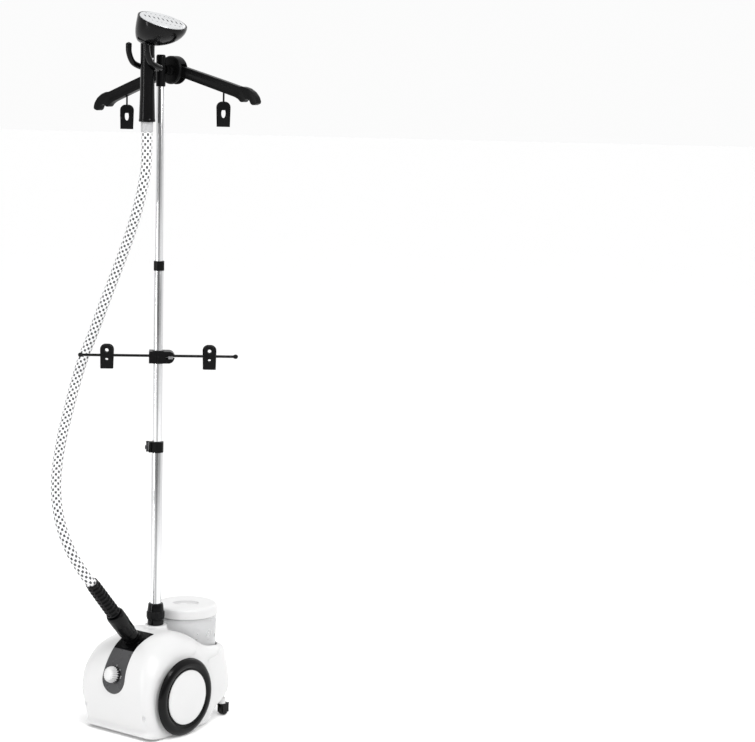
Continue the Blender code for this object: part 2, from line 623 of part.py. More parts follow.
def stadium(x, y_low, y_high, radius, steps=5):
    """Outline of a bar with round ends, along y at x."""
    return arc(x, y_high, radius, 0, 180, steps) + arc(x, y_low, radius, 180, 360, steps)


def make_flip_lock(root, name, low, high, outer_r, inner_r, tube_top, turn):
    """A collar on the outer section's end, and the cam lever that closes it on the inner one."""
    frame = empty(f"{name}_lock_frame", root, (0, 0, 0), (0, 0, turn))
    wall_r = outer_r + 0.0016
    collar = turned("collar", [(outer_r + GAP, low), (wall_r, low), (wall_r, high), (inner_r + 0.0004, high),
                               (inner_r + 0.0004, tube_top + GAP), (outer_r + GAP, tube_top + GAP)], 18)
    lever_x = -(wall_r + 0.0080)
    lever_r, lever_y = 0.0028, 0.0062
    core = box("core", (lever_x + lever_r + GAP, -0.0080, low + 0.0002), (-(outer_r + 0.0008), 0.0080, high - 0.0002))
    join(collar, core)
    for z0, z1 in ((low + 0.0002, low + 0.0022), (high - 0.0022, high - 0.0002)):
        ear = prism("ear", [(lever_x + 0.004, lever_y + 0.0015)] + arc(lever_x, lever_y, 0.0032, 90, 270, 4)
                    + [(lever_x + 0.004, lever_y - 0.0032)], z0, z1)
        join(collar, ear)
    finish(collar, f"{name}_lock_collar", "black_plastic", frame)
    pivot = empty(f"{name}_lever_frame", frame, (lever_x, lever_y, 0))
    lever = prism("lever", stadium(0.0, -2 * lever_y, 0.0, lever_r), low + 0.0025, high - 0.0025)
    tab = box("tab", (-0.0052, -2 * lever_y - 0.0020, (low + high) / 2 - 0.004),
              (-0.0015, -2 * lever_y + 0.0040, (low + high) / 2 + 0.004))
    join(lever, tab)
    finish(lever, f"{name}_lock_lever", "black_plastic", pivot)


# ------------------------------------------------------------------ clips
def jaw_mesh(name, width, ear_x, notched=False):
    """One half of a sprung clip: a bent plate with a window, and two ears round the rod on local X.
    It lies on the +Y side of the rod. A notched one is open above, for a hook's stem."""
    top, bottom, thick = CLIP_HEIGHT_UP, -CLIP_HEIGHT_DOWN, 0.0022
    side = [(0.0005, bottom), (0.0066, -0.0060), (0.0066, 0.0060), (0.0092, top)]
    side += [(y + thick, z) for y, z in reversed(side)]
    half = width / 2
    plate = rings_solid("plate", [[(x, y, z) for y, z in side] for x in (-half, half)])
    shape = [(-half, bottom), (half, bottom), (half, top - 0.007), (half - 0.003, top - 0.0025),
             (half - 0.008, top), (-half + 0.008, top), (-half + 0.003, top - 0.0025), (-half, top - 0.007)]
    shape = [(x * (0.93 if z == bottom else 1.0), z) for x, z in shape]
    outline = rings_solid("outline", [[(x, y, z) for x, z in shape] for y in (-0.01, 0.03)])
    common(plate, outline)
    cut(plate, box("window", (-0.0050, -0.01, -0.0125), (0.0050, 0.03, 0.0150)))
    if notched:
        cut(plate, box("notch", (-0.0032, -0.01, 0.0130), (0.0032, 0.03, 0.0300)))
    for s in (-1, 1):
        x = s * ear_x
        loop = [(0.0080, 0.0068)] + arc(0.0, 0.0, 0.0056, 60, 300, 6) + [(0.0080, -0.0068)]
        ear = rings_solid("ear", [[(x - 0.0009, y, z) for y, z in loop], [(x + 0.0009, y, z) for y, z in loop]])
        join(plate, ear)
    bore = moved(turned("bore", [(0, -0.02), (ROD_R + 0.0003, -0.02), (ROD_R + 0.0003, 0.02), (0, 0.02)], 10),
                 (0, 0, 0), (0, pi / 2, 0))
    cut(plate, bore)
    plate.name = name
    return plate


def make_clip(prefix, frame, rear, front):
    """A clip's two jaws, from the shared meshes. The front one is turned about to face the rear one."""
    finish(copy_of(rear), f"{prefix}_rear_jaw", "black_plastic", frame)
    finish(copy_of(front), f"{prefix}_front_jaw", "black_plastic", frame, rotation=(0, 0, pi))


# ------------------------------------------------------------------ clip bar
def make_bar(root, rear, front):
    frame = empty("bar_frame", root, (0, 0, BAR_Z), (0, 0, BAR_TURN))
    bush = turned("bush", [(MIDDLE_R + GAP, -0.0148), (0.0132, -0.0148), (0.0132, -0.0136), (0.0118, -0.0136),
                           (0.0118, 0.0136), (0.0132, 0.0136), (0.0132, 0.0148), (MIDDLE_R + GAP, 0.0148)], 18)
    finish(bush, "bar_clamp_bush", "black_plastic", frame)

    outline = [(-0.020, 0.0205), (-0.020, -0.0165), (0.022, -0.0165)]
    outline += arc(0.022, -0.0015, 0.015, -90, 0, 5)[1:] + arc(0.022, 0.0055, 0.015, 0, 90, 5)
    clamp = prism("clamp", outline, -0.0133, 0.0133)
    bore = turned("bore", [(0, -0.03), (0.0121, -0.03), (0.0121, 0.03), (0, 0.03)], 18)
    slot = box("slot", (0.0172, -0.03, -0.0034), (0.045, 0.03, 0.0034))
    rod_hole = moved(turned("hole", [(0, -0.05), (ROD_R + GAP, -0.05), (ROD_R + GAP, 0.05), (0, 0.05)], 14),
                     (0, BAR_SET_BACK, 0), (0, pi / 2, 0))
    cut(clamp, bore, slot, rod_hole)
    finish(clamp, "bar_clamp", "black_plastic", frame)
    pivot = empty("bar_lever_frame", frame, (0.0275, 0.0030, 0))
    lever = prism("lever", stadium(0.0, -0.0165, 0.0, 0.0055), -0.0030, 0.0030)
    finish(lever, "bar_clamp_lever", "smoke_plastic", pivot)

    end = [(0, -BAR_HALF), (0.0040, -BAR_HALF + 0.0015), (0.0055, -BAR_HALF + 0.0055),
           (0.0040, -BAR_HALF + 0.0095), (ROD_R, -BAR_HALF + 0.0105)]
    rod = turned("rod", end + [(r, -z) for r, z in reversed(end)], 12)
    finish(rod, "clip_bar", "black_plastic", frame, (0, BAR_SET_BACK, 0), (0, pi / 2, 0))
    for side, name in ((-1, "left"), (1, "right")):
        clip = empty(f"bar_clip_{name}_frame", frame, (side * BAR_CLIP_X, BAR_SET_BACK, 0))
        make_clip(f"bar_clip_{name}", clip, rear, front)


# ------------------------------------------------------------------ hanger and handset rest
def make_pole_top(root):
    socket = turned("socket", [(0, 1.5050), (0.0085, 1.5050), (0.0103, 1.5015), (0.0103, 1.4360),
                               (UPPER_R + GAP, 1.4360), (UPPER_R + GAP, UPPER_TOP + GAP),
                               (0, UPPER_TOP + GAP)], 18)
    neck = moved(turned("neck", [(0, 0.0), (0.0110, 0.0), (0.0110, 0.0182), (0, 0.0182)], 16),
                 (0, 0.0093, HUB_Z), (-pi / 2, 0, 0))
    join(socket, neck)
    finish(socket, "pole_top_socket", "black_plastic", root)

    half = [(0.0265, -0.0740, 1.5300), (0.0268, -0.0730, 1.5080), (0.0265, -0.0620, 1.4880),
            (0.0258, -0.0420, 1.4790), (0.0225, -0.0260, 1.4760), (0.0120, -0.0182, 1.4750)]
    route = [(-x, y, z) for x, y, z in half] + [(0.0, -0.0172, 1.4750)] + list(reversed(half))
    fork = tube_curve("fork", smooth_path(route, 2), 0.0065, 2)
    finish(fork, "handset_fork", "black_plastic", root)


def make_hanger(root, rear, front):
    frame = empty("hub_frame", root, (0, HUB_Y, HUB_Z))
    depth = 0.0142
    hub = moved(turned("hub", [(0, -depth), (HUB_R - 0.003, -depth), (HUB_R, -depth + 0.003),
                               (HUB_R, depth - 0.003), (HUB_R - 0.003, depth), (0, depth)], 24),
                (0, 0, 0), (pi / 2, 0, 0))
    slot_half = ARM_HALF_THICK + 0.0005
    cut(hub, box("slot", (-0.05, -slot_half, -0.05), (0.05, slot_half, 0.0135)))
    for side in (-1, 1):
        cut(hub, moved(turned("hole", [(0, -0.02), (0.0029, -0.02), (0.0029, 0.02), (0, 0.02)], 14),
                       (side * ARM_PIVOT_X, 0, 0), (pi / 2, 0, 0)))
    finish(hub, "hanger_hub", "black_plastic", frame)

    top = [(0.0000, 0.0115), (0.1200, 0.0125), (0.1820, 0.0125), (0.1900, 0.0150), (0.2050, 0.0150),
           (0.2200, 0.0110), (0.2320, 0.0030), (0.2380, -0.0060)]
    under = [(0.2370, -0.0100), (0.2290, -0.0160), (0.2220, -0.0150), (0.2150, -0.0075), (0.2060, -0.0075),
             (0.2000, -0.0170), (0.1930, -0.0185), (0.1860, -0.0145), (0.1750, -0.0125), (0.0000, -0.0115)]
    outline = top + under + arc(0.0, 0.0, 0.0115, 270, 90, 8)[1:-1]
    t = ARM_HALF_THICK
    arm = rings_solid("arm", [[(x, y, z) for x, z in outline] for y in (-t, t)])
    pin_hole = moved(turned("hole", [(0, -0.02), (0.0029, -0.02), (0.0029, 0.02), (0, 0.02)], 14),
                     (0, 0, 0), (pi / 2, 0, 0))
    pocket = box("pocket", (HANG_X - 0.0045, -0.0036, -0.02), (HANG_X + 0.0080, 0.0036, -0.0030))
    cut(arm, pin_hole, pocket)
    hook = turned("hook", [(0, 0.0), (0.0015, 0.0), (0.0015, 0.0475), (0.0026, 0.0485), (0.0030, 0.0505),
                           (0.0026, 0.0525), (0, 0.0535)], 12)
    bar = moved(turned("bar", [(0, -0.0150), (ROD_R, -0.0150), (ROD_R, 0.0150), (0, 0.0150)], 14),
                (0, 0, 0), (0, pi / 2, 0))
    hook = join(bar, hook)
    for side, name in ((-1, "left"), (1, "right")):
        pin = moved(turned("pin", [(0, -0.0135), (0.0026, -0.0135), (0.0026, 0.0135), (0, 0.0135)], 14),
                    (side * ARM_PIVOT_X, 0, 0), (pi / 2, 0, 0))
        finish(pin, f"arm_pin_{name}", "steel", frame)
        droop = ARM_DROOP[name]
        pivot = empty(f"arm_{name}_frame", frame, (side * ARM_PIVOT_X, 0, 0), (0, 0, 0 if side > 0 else pi))
        tip = empty(f"arm_{name}_droop", pivot, (0, 0, 0), (0, droop, 0))
        finish(copy_of(arm), f"hanger_arm_{name}", "black_plastic", tip)
        ball_x = HANG_X * cos(droop) - 0.0065 * sin(droop)
        ball_z = -HANG_X * sin(droop) - 0.0065 * cos(droop)
        swing = empty(f"hook_{name}_frame", frame, (side * (ARM_PIVOT_X + ball_x), 0, ball_z))
        clip = empty(f"hang_clip_{name}_frame", swing, (0, 0, -0.0505), (0, 0, BAR_TURN))
        finish(copy_of(hook), f"clip_hook_{name}", "steel", clip)
        make_clip(f"hang_clip_{name}", clip, rear, front)
    for spare in (arm, hook):
        bpy.data.objects.remove(spare, do_unlink=True)


# ------------------------------------------------------------------ handset
def head_ring(angle_share, shrink):
    """One ring of the steam head: 0 is the rim, 1 the neck. shrink offsets it inwards."""
    theta = radians(90 * angle_share)
    spread, drop = cos(theta), sin(theta)
    along = Vector((cos(HEAD_TILT), 0, -sin(HEAD_TILT)))
    neck = Vector((0, HANDLE_Y, HANDLE_TOP + GAP))
    ring = []
    for k in range(24):
        phi = 2 * pi * k / 24
        rim = HEAD_CENTRE + along * (HEAD_HALF_LENGTH - shrink) * cos(phi) \
            + Vector((0, (HEAD_HALF_WIDTH - shrink) * sin(phi), 0))
        low = neck + Vector(((0.0152 - shrink) * cos(phi), (0.0152 - shrink) * sin(phi), 0))
        point = low.lerp(rim, spread)
        point.z = low.z + (rim.z - low.z) * (1 - drop)
        point.x -= HEAD_BULGE * sin(2 * theta) * (1 - cos(phi)) / 2
        ring.append(tuple(point))
    return ring


def make_handset(root):
    frame = empty("handset_frame", root, (0, HANDLE_Y, 0))
    bottom, top = HANDLE_BOTTOM, HANDLE_TOP
    handle = turned("handle", [(0.0128, bottom), (0.0178, bottom), (0.0182, bottom + 0.003),
                               (0.0172, bottom + 0.020), (0.0158, bottom + 0.060), (0.0154, bottom + 0.110),
                               (0.0152, top), (0.0128, top)], 18)
    finish(handle, "handset_handle", "black_plastic", frame)
    sleeve = turned("sleeve", [(HOSE_R + 0.0005, 1.3370), (0.0128, 1.3370), (0.0135, bottom - GAP),
                               (HOSE_R + 0.0005, bottom - GAP)], 20)
    finish(sleeve, "hose_sleeve", "smoke_plastic", frame)

    outside = [head_ring(s, 0.0) for s in (0.0, 0.2, 0.4, 0.6, 0.8, 1.0)]
    inside = [head_ring(s, 0.0024) for s in (1.0, 0.80, 0.55, 0.30, 0.0)]
    drop = Vector((0, 0, 0.0024))
    inside = [[tuple(Vector(p) + (drop * (1.0 if 0 < i < 4 else 0.0))) for p in ring]
              for i, ring in enumerate(inside)]
    head = rings_solid("head", outside + inside, closed_loop=True)
    finish(moved(head, (0, -HANDLE_Y, 0)), "steam_head", "black_plastic", frame)

    plate = turned("plate", [(0, -0.0030), (0.97, -0.0030), (0.985, -0.0005), (0.97, 0.0008), (0.80, 0.0018),
                             (0, 0.0024)], 24)
    plate.data.transform(Matrix.Diagonal((HEAD_HALF_LENGTH - 0.0029, HEAD_HALF_WIDTH - 0.0029, 1, 1)))
    for x, y in [(-0.021, 0.006), (-0.003, -0.026), (0.004, 0.029), (0.023, -0.015), (0.019, 0.017)]:
        port = turned("port", [(0, -0.01), (0.0019, -0.01), (0.0019, 0.01), (0, 0.01)], 9, 0.2)
        cut(plate, moved(port, (x, y, 0)))
    centre = HEAD_CENTRE - Vector((0, HANDLE_Y, 0))
    finish(moved(plate, centre, (0, HEAD_TILT, 0)), "steam_plate", "aluminium", frame)


# ------------------------------------------------------------------ assembly
def main():
    clear_scene()
    root = empty("steamer", None, (SHIFT_X, SHIFT_Y, 0))
    make_housing(root)
    make_tray(root)
    make_inner_works(root)
    make_cord_inlet(root)
    make_knob(root)
    make_socket_and_hose(root)
    make_tank(root)
    make_wheels(root)
    make_casters(root)
    make_pole(root)
    make_pole_top(root)
    for notched, build in ((False, make_bar), (True, make_hanger)):
        rear = jaw_mesh("rear", 0.031, 0.0100, notched)
        front = jaw_mesh("front", 0.031, 0.0124, notched)
        build(root, rear, front)
        bpy.data.objects.remove(rear, do_unlink=True)
        bpy.data.objects.remove(front, do_unlink=True)
    make_handset(root)


main()
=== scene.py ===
"""Looks for the garment steamer: glossy white base, translucent tank, bright telescoping pole,
black clip bar, hanger and steam head, and a woven hose.

Metres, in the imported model's frame. Shapes are laid out from the pole's axis, which is read
from the frame.
"""
from math import atan2, cos, pi, radians, sin, sqrt

import bmesh
import bpy
from mathutils import Matrix, Vector


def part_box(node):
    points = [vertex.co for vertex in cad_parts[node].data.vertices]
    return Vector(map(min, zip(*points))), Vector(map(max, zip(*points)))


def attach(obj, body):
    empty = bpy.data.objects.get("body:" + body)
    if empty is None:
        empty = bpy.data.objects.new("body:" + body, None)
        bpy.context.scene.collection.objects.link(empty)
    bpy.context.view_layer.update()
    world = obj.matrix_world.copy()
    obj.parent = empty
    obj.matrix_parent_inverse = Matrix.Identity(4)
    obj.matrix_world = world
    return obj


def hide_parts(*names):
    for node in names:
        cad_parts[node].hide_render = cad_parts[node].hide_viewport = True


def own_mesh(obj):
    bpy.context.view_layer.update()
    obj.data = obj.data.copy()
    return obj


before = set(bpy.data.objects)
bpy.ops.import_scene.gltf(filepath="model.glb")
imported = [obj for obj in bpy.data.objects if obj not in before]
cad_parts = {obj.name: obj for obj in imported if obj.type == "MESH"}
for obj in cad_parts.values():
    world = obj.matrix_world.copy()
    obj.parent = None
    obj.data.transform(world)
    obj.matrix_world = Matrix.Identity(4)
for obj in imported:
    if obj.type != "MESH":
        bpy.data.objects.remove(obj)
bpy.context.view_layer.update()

# ------------------------------------------------------------------ places read from the frame
low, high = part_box("upper_pole")
POLE = Vector(((low[0] + high[0]) / 2, (low[1] + high[1]) / 2, 0.0))

# ------------------------------------------------------------------ sizes, in metres
BODY_HALF_WIDTH = 0.1045
WALL = 0.003
TANK_Y = 0.103
SEAT_RADIUS = 0.0742
TANK_RADIUS = 0.0705
TANK_RIM_Z = 0.2355
LID_TOP_Z = 0.2600
WHEEL_RADIUS = 0.0875
WHEEL_Y = -0.0265
WHEEL_INNER_X = 0.1063
TYRE_WIDTH = 0.0180
HUB_RADIUS = 0.0612
PANEL_HALF_WIDTH = 0.033
PANEL_SPLIT = 0.62                # share of the length of the panel below the socket
KNOB_Z = 0.137
SOCKET_RIM = Vector((0.0, -0.079, 0.214))
SOCKET_TILT = radians(41.0)
COUPLING_LENGTH = 0.085
HANDLE_Y = -0.043
HANDLE_BOTTOM, HANDLE_TOP = 1.359, 1.531
HEAD_CENTRE = Vector((0.043, -0.043, 1.577))
HEAD_TILT = radians(23.0)
HEAD_HALF_LENGTH, HEAD_HALF_WIDTH, HEAD_BULGE = 0.0505, 0.060, 0.011
HUB_Y, HUB_Z, HUB_R = 0.042, 1.472, 0.031
ARM_PIVOT_X = 0.016
ARM_DROOP = {"left": radians(20.5), "right": radians(14.0)}
BAR_Z, BAR_TURN = 0.8395, radians(41.4)
BAR_HALF, BAR_SET_BACK, BAR_CLIP_X = 0.178, 0.0155, 0.114
CLIP_UP, CLIP_DOWN, CLIP_WIDTH, FRONT_NARROWER = 0.0245, 0.0300, 0.0310, 0.0046
HANG_X, HANG_HOLE_DROP, HOOK_LENGTH = 0.135, 0.0065, 0.0505
HOSE_RADIUS = 0.0117
SIDES = ((-1, "left"), (1, "right"))
SHARP_ANGLE = 32                  # degrees: edges that turn further are hard

# Hose centreline, from the coupling up into the handle, from the pole's axis.
HOSE_ROUTE = [
    (0.000, -0.1371, 0.2808), (0.000, -0.1616, 0.3090), (0.000, -0.1862, 0.3373),
    (0.000, -0.2036, 0.3575), (-0.005, -0.2210, 0.3790), (-0.028, -0.2430, 0.4330),
    (-0.061, -0.2430, 0.4960), (-0.096, -0.2200, 0.5640), (-0.128, -0.1760, 0.6410),
    (-0.154, -0.1210, 0.7250), (-0.166, -0.0720, 0.8150), (-0.153, -0.0470, 0.8850),
    (-0.129, -0.0380, 0.9520), (-0.103, -0.0320, 1.0150), (-0.079, -0.0310, 1.0660),
    (-0.054, -0.0345, 1.1150), (-0.030, -0.0400, 1.1640), (-0.012, -0.0430, 1.2120),
    (-0.003, -0.0430, 1.2530), (0.000, -0.0430, 1.3000), (0.000, -0.0430, 1.3450),
    (0.000, -0.0430, 1.3850),
]

# Housing outline in the middle plane: (y, z, edge radius towards the sides)
BODY_OUTLINE = [
    (-0.106, 0.004, 0.018), (-0.121, 0.024, 0.020), (-0.1335, 0.062, 0.022), (-0.139, 0.100, 0.022),
    (-0.1345, 0.135, 0.025), (-0.1225, 0.165, 0.035), (-0.098, 0.195, 0.050), (-0.058, 0.2145, 0.070),
    (-0.010, 0.2215, 0.070), (0.040, 0.2085, 0.070), (0.095, 0.182, 0.060), (0.150, 0.166, 0.035),
    (0.182, 0.157, 0.016), (0.1935, 0.130, 0.014), (0.204, 0.092, 0.014), (0.208, 0.062, 0.014),
    (0.190, 0.045, 0.010), (0.165, 0.036, 0.010), (0.090, 0.008, 0.010),
]
REAR_START, REAR_POWER = 0.050, 2.2
OUTLINE_UNDERSIDE_FROM = 16       # the last points, and the first, are the underside
FLOOR_GAP = 0.003                 # the housing's lowest point
SIDE_POWER, REAR_ROUNDING = 0.85, 0.98
FRONT_FOOT_Y, FRONT_FOOT_Z = -0.08, 0.07
FRONT_EDGE_Y = -0.106


# ------------------------------------------------------------------ mesh helpers
def full_turn(count):
    """Evenly spaced angles round a full turn."""
    return [2 * pi * k / count for k in range(count)]


def solid(name, verts, faces, sharp=SHARP_ANGLE):
    mesh = bpy.data.meshes.new(name)
    build = bmesh.new()
    placed = [build.verts.new(v) for v in verts]
    for face in faces:
        build.faces.new([placed[i] for i in face])
    bmesh.ops.recalc_face_normals(build, faces=build.faces)
    build.to_mesh(mesh)
    build.free()
    obj = bpy.data.objects.new(name, mesh)
    bpy.context.collection.objects.link(obj)
    mesh.shade_smooth()
    mesh.set_sharp_from_angle(angle=radians(sharp))
    return obj


def rings_solid(name, rings, closed_loop=False, sharp=SHARP_ANGLE):
    """Bridges rings of equal length, and caps the ends unless the last meets the first."""
    count = len(rings[0])
    verts = [point for ring in rings for point in ring]
    faces = []
    for i in range(len(rings) if closed_loop else len(rings) - 1):
        a, b = i * count, ((i + 1) % len(rings)) * count
        faces += [(a + j, a + (j + 1) % count, b + (j + 1) % count, b + j) for j in range(count)]
    if not closed_loop:
        last = (len(rings) - 1) * count
        faces += [tuple(range(count)), tuple(last + j for j in range(count))]
    return solid(name, verts, faces, sharp)


def turned(name, profile, sides, shape=None, sharp=SHARP_ANGLE):
    """Turns (radius, height) points about Z. A profile off the axis closes into a ring.
    shape(angle, radius, height) may change the radius round the turn."""
    on_axis = profile[0][0] == 0.0
    verts, rows = [], []
    for radius, height in profile:
        if radius == 0.0:
            rows.append([len(verts)])
            verts.append((0.0, 0.0, height))
            continue
        rows.append([len(verts) + k for k in range(sides)])
        for angle in full_turn(sides):
            r = shape(angle, radius, height) if shape else radius
            verts.append((r * cos(angle), r * sin(angle), height))
    faces = []
    for a, b in list(zip(rows, rows[1:])) + ([] if on_axis else [(rows[-1], rows[0])]):
        for k in range(sides):
            n = (k + 1) % sides
            if len(a) == 1 and len(b) > 1:
                faces.append((a[0], b[n], b[k]))
            elif len(b) == 1 and len(a) > 1:
                faces.append((a[k], a[n], b[0]))
            elif len(a) > 1:
                faces.append((a[k], a[n], b[n], b[k]))
    return solid(name, verts, faces, sharp)


def cylinder(name, radius, bottom, top, sides):
    """A plain cylinder about Z."""
    return turned(name, [(0, bottom), (radius, bottom), (radius, top), (0, top)], sides)


def rounded(profile, radius, steps=4, closed=False):
    """Rounds a profile's corners with arcs of up to the given radius."""
    result = []
    count = len(profile)
    for i, point in enumerate(profile):
        here = Vector(point)
        if not closed and i in (0, count - 1):
            result.append(tuple(here))
            continue
        before, after = Vector(profile[i - 1]) - here, Vector(profile[(i + 1) % count]) - here
        reach = min(radius, before.length * 0.45, after.length * 0.45)
        a, b = here + before.normalized() * reach, here + after.normalized() * reach
        if before.length < 1e-6 or after.length < 1e-6 or before.angle(after) > radians(172):
            result.append(tuple(here))
            continue
        for k in range(steps + 1):
            t = k / steps
            result.append(tuple(a * (1 - t) ** 2 + here * 2 * t * (1 - t) + b * t ** 2))
    return result


def arc(cx, cy, radius, start, end, steps):
    """Points on an arc, from a start angle to an end angle in degrees."""
    angles = [radians(start + (end - start) * k / steps) for k in range(steps + 1)]
    return [(cx + radius * cos(a), cy + radius * sin(a)) for a in angles]


def smooth_path(points, per_span, closed=False):
    """Catmull-Rom curve through the points."""
    pts = [Vector(p) for p in points]
    count = len(pts)
    curve = []
    for i in range(count if closed else count - 1):
        before = pts[i - 1] if (closed or i > 0) else 2 * pts[0] - pts[1]
        a, b = pts[i], pts[(i + 1) % count]
        after = pts[(i + 2) % count] if (closed or i + 2 < count) else 2 * pts[-1] - pts[-2]
        for k in range(per_span):
            t = k / per_span
            curve.append(0.5 * (2 * a + (b - before) * t
                                + (2 * before - 5 * a + 4 * b - after) * t ** 2
                                + (3 * a - before - 3 * b + after) * t ** 3))
    if not closed:
        curve.append(pts[-1])
    return curve


def prism(name, outline, a, b, axis="Z"):
    """Extrudes an outline from a to b along an axis."""
    put = {"X": lambda u, v, w: (w, u, v),
           "Y": lambda u, v, w: (u, w, v),
           "Z": lambda u, v, w: (u, v, w)}[axis]
    return rings_solid(name, [[put(u, v, w) for u, v in outline] for w in (a, b)])


def box(name, lower, upper):
    outline = [(lower[0], lower[1]), (upper[0], lower[1]), (upper[0], upper[1]), (lower[0], upper[1])]
    return prism(name, outline, lower[2], upper[2])


def moved(obj, location=(0, 0, 0), rotation=(0, 0, 0)):
    """Turns an object's mesh about X, Y and Z in that order, then shifts it."""
    turn = Matrix.Rotation(rotation[2], 4, "Z") @ Matrix.Rotation(rotation[1], 4, "Y") \
        @ Matrix.Rotation(rotation[0], 4, "X")
    obj.data.transform(Matrix.Translation(location) @ turn)
    return obj


def apply_modifiers(obj):
    bpy.context.view_layer.update()
    evaluated = obj.evaluated_get(bpy.context.evaluated_depsgraph_get())
    mesh = bpy.data.meshes.new_from_object(evaluated)
    obj.modifiers.clear()
    obj.data = mesh
    return obj


def combine(target, tools, operation):
    for tool in tools:
        step = target.modifiers.new("step", "BOOLEAN")
        step.operation = operation
        step.object = tool
        step.solver = "EXACT"
        apply_modifiers(target)
        bpy.data.objects.remove(tool, do_unlink=True)
    target.data.shade_smooth()
    target.data.set_sharp_from_angle(angle=radians(SHARP_ANGLE))
    return target


def cut(target, *tools):
    return combine(target, tools, "DIFFERENCE")


def join(target, *tools):
    return combine(target, tools, "UNION")


def softened(obj, width, segments=2, angle=SHARP_ANGLE):
    """Rounds an object's hard edges, keeping its mesh as it is underneath."""
    bevel = obj.modifiers.new("rounded_edges", "BEVEL")
    bevel.width = width
    bevel.segments = segments
    bevel.limit_method = "ANGLE"
    bevel.angle_limit = radians(angle)
    bevel.use_clamp_overlap = True
    bevel.harden_normals = False
    return obj


# ------------------------------------------------------------------ materials
def new_material(name):
    mat = bpy.data.materials.new(name)
    mat.use_nodes = True
    return mat, mat.node_tree, mat.node_tree.nodes["Principled BSDF"]


def fill(tree, node, inputs):
    """Sets a node's inputs, each to a value or to a link from another node's output."""
    for key, value in inputs.items():
        if isinstance(value, bpy.types.NodeSocket):
            tree.links.new(value, node.inputs[key])
        else:
            node.inputs[key].default_value = value


def add(tree, kind, inputs=None, **values):
    node = tree.nodes.new(kind)
    for key, value in values.items():
        setattr(node, key, value)
    fill(tree, node, inputs or {})
    return node


def object_place(tree):
    return add(tree, "ShaderNodeTexCoord").outputs["Object"]


def noise(tree, vector, scale, detail=3.0, roughness=0.55):
    inputs = {"Scale": scale, "Detail": detail, "Roughness": roughness, "Vector": vector}
    return add(tree, "ShaderNodeTexNoise", inputs).outputs["Fac"]


def spread(tree, value, low_end, high_end, from_low=0.25, from_high=0.75):
    """Maps a value between two levels to a range."""
    inputs = {"From Min": from_low, "From Max": from_high, "To Min": low_end, "To Max": high_end,
              "Value": value}
    return add(tree, "ShaderNodeMapRange", inputs).outputs["Result"]


def mix(tree, factor, first, second, blend_type="MIX"):
    """Blends two colours, each given as RGB or as another node's output."""
    first, second = ((*end, 1.0) if isinstance(end, tuple) else end for end in (first, second))
    node = add(tree, "ShaderNodeMix", {"Factor": factor, "A": first, "B": second},
               data_type="RGBA", blend_type=blend_type)
    return node.outputs["Result"]


def bump(tree, shader, height, distance, strength=1.0):
    relief = add(tree, "ShaderNodeBump", {"Strength": strength, "Distance": distance, "Height": height})
    tree.links.new(relief.outputs["Normal"], shader.inputs["Normal"])


def math_node(tree, operation, first, second=None):
    operands = {i: value for i, value in enumerate((first, second)) if value is not None}
    return add(tree, "ShaderNodeMath", operands, operation=operation).outputs[0]


def ramp(tree, factor, stops):
    """A grey for each position between two or more (position, level) stops."""
    node = add(tree, "ShaderNodeValToRGB", {"Fac": factor})
    elements = node.color_ramp.elements
    for element, (position, _) in zip(elements, (stops[0], stops[-1])):
        element.position = position
    for position, _ in stops[1:-1]:
        elements.new(position)
    for element, (_, level) in zip(elements, stops):
        element.color = (level, level, level, 1.0)
    return node.outputs["Color"]


def surface(tree, shader, tint, colour, shade, gloss, rough_low, rough_high):
    """An uneven colour, down to a share of it where the tint is low, and an uneven roughness."""
    dull = tuple(channel * shade for channel in colour)
    fill(tree, shader, {"Base Color": mix(tree, tint, dull, colour),
                        "Roughness": spread(tree, gloss, rough_low, rough_high)})


def plastic(name, colour, roughness, grain=0.00002, coat=0.0, shade=0.94, grain_scale=900.0,
            shine=0.5):
    """Moulded plastic: a slightly uneven colour, a fine moulded grain and handled, uneven gloss."""
    mat, tree, shader = new_material(name)
    where = object_place(tree)
    broad, smears = noise(tree, where, 9.0, 2.0), noise(tree, where, 38.0, 5.0, 0.65)
    surface(tree, shader, broad, colour, shade, smears, roughness * 0.82, roughness * 1.25)
    bump(tree, shader, noise(tree, where, grain_scale, 2.0), grain)
    fill(tree, shader, {"Coat Weight": coat, "Coat Roughness": 0.08, "Specular IOR Level": shine})
    return mat


def drawn_metal(name, colour, roughness, along=(240.0, 240.0, 3.0)):
    """Metal with fine lines drawn along local Z."""
    mat, tree, shader = new_material(name)
    stretch = add(tree, "ShaderNodeMapping", {"Scale": along, "Vector": object_place(tree)})
    lines = noise(tree, stretch.outputs["Vector"], 4.0, 4.0, 0.6)
    surface(tree, shader, lines, colour, 0.90, lines, roughness * 0.8, roughness * 1.3)
    bump(tree, shader, lines, 0.00001)
    shader.inputs["Metallic"].default_value = 1.0
    return mat


# Share of a turn round a tube, and the brightness of the painted reflection bands there
PAINTED_REFLECTION_BANDS = ((0.10, 0.50), (0.16, 0.72), (0.24, 0.88), (0.315, 0.84), (0.345, 0.50), (0.362, 0.34),
         (0.380, 0.50), (0.405, 0.84), (0.500, 0.90), (0.580, 0.70), (0.630, 0.48))


def tube_metal_painted_reflection(name, colour, roughness):
    """Bright drawn tube with soft lengthwise bands of painted reflection round it: one dark, one grey."""
    mat = drawn_metal(name, colour, roughness)
    tree = mat.node_tree
    base_colour = tree.nodes["Principled BSDF"].inputs["Base Color"]
    # Painted reflection: grey levels set by the angle round the tube, multiplied into the colour.
    around = add(tree, "ShaderNodeTexGradient", {"Vector": object_place(tree)}, gradient_type="RADIAL")
    painted_reflection_bands = ramp(tree, around.outputs["Fac"], PAINTED_REFLECTION_BANDS)
    drawn = base_colour.links[0].from_socket
    tree.links.new(mix(tree, 1.0, drawn, painted_reflection_bands, "MULTIPLY"), base_colour)
    return mat


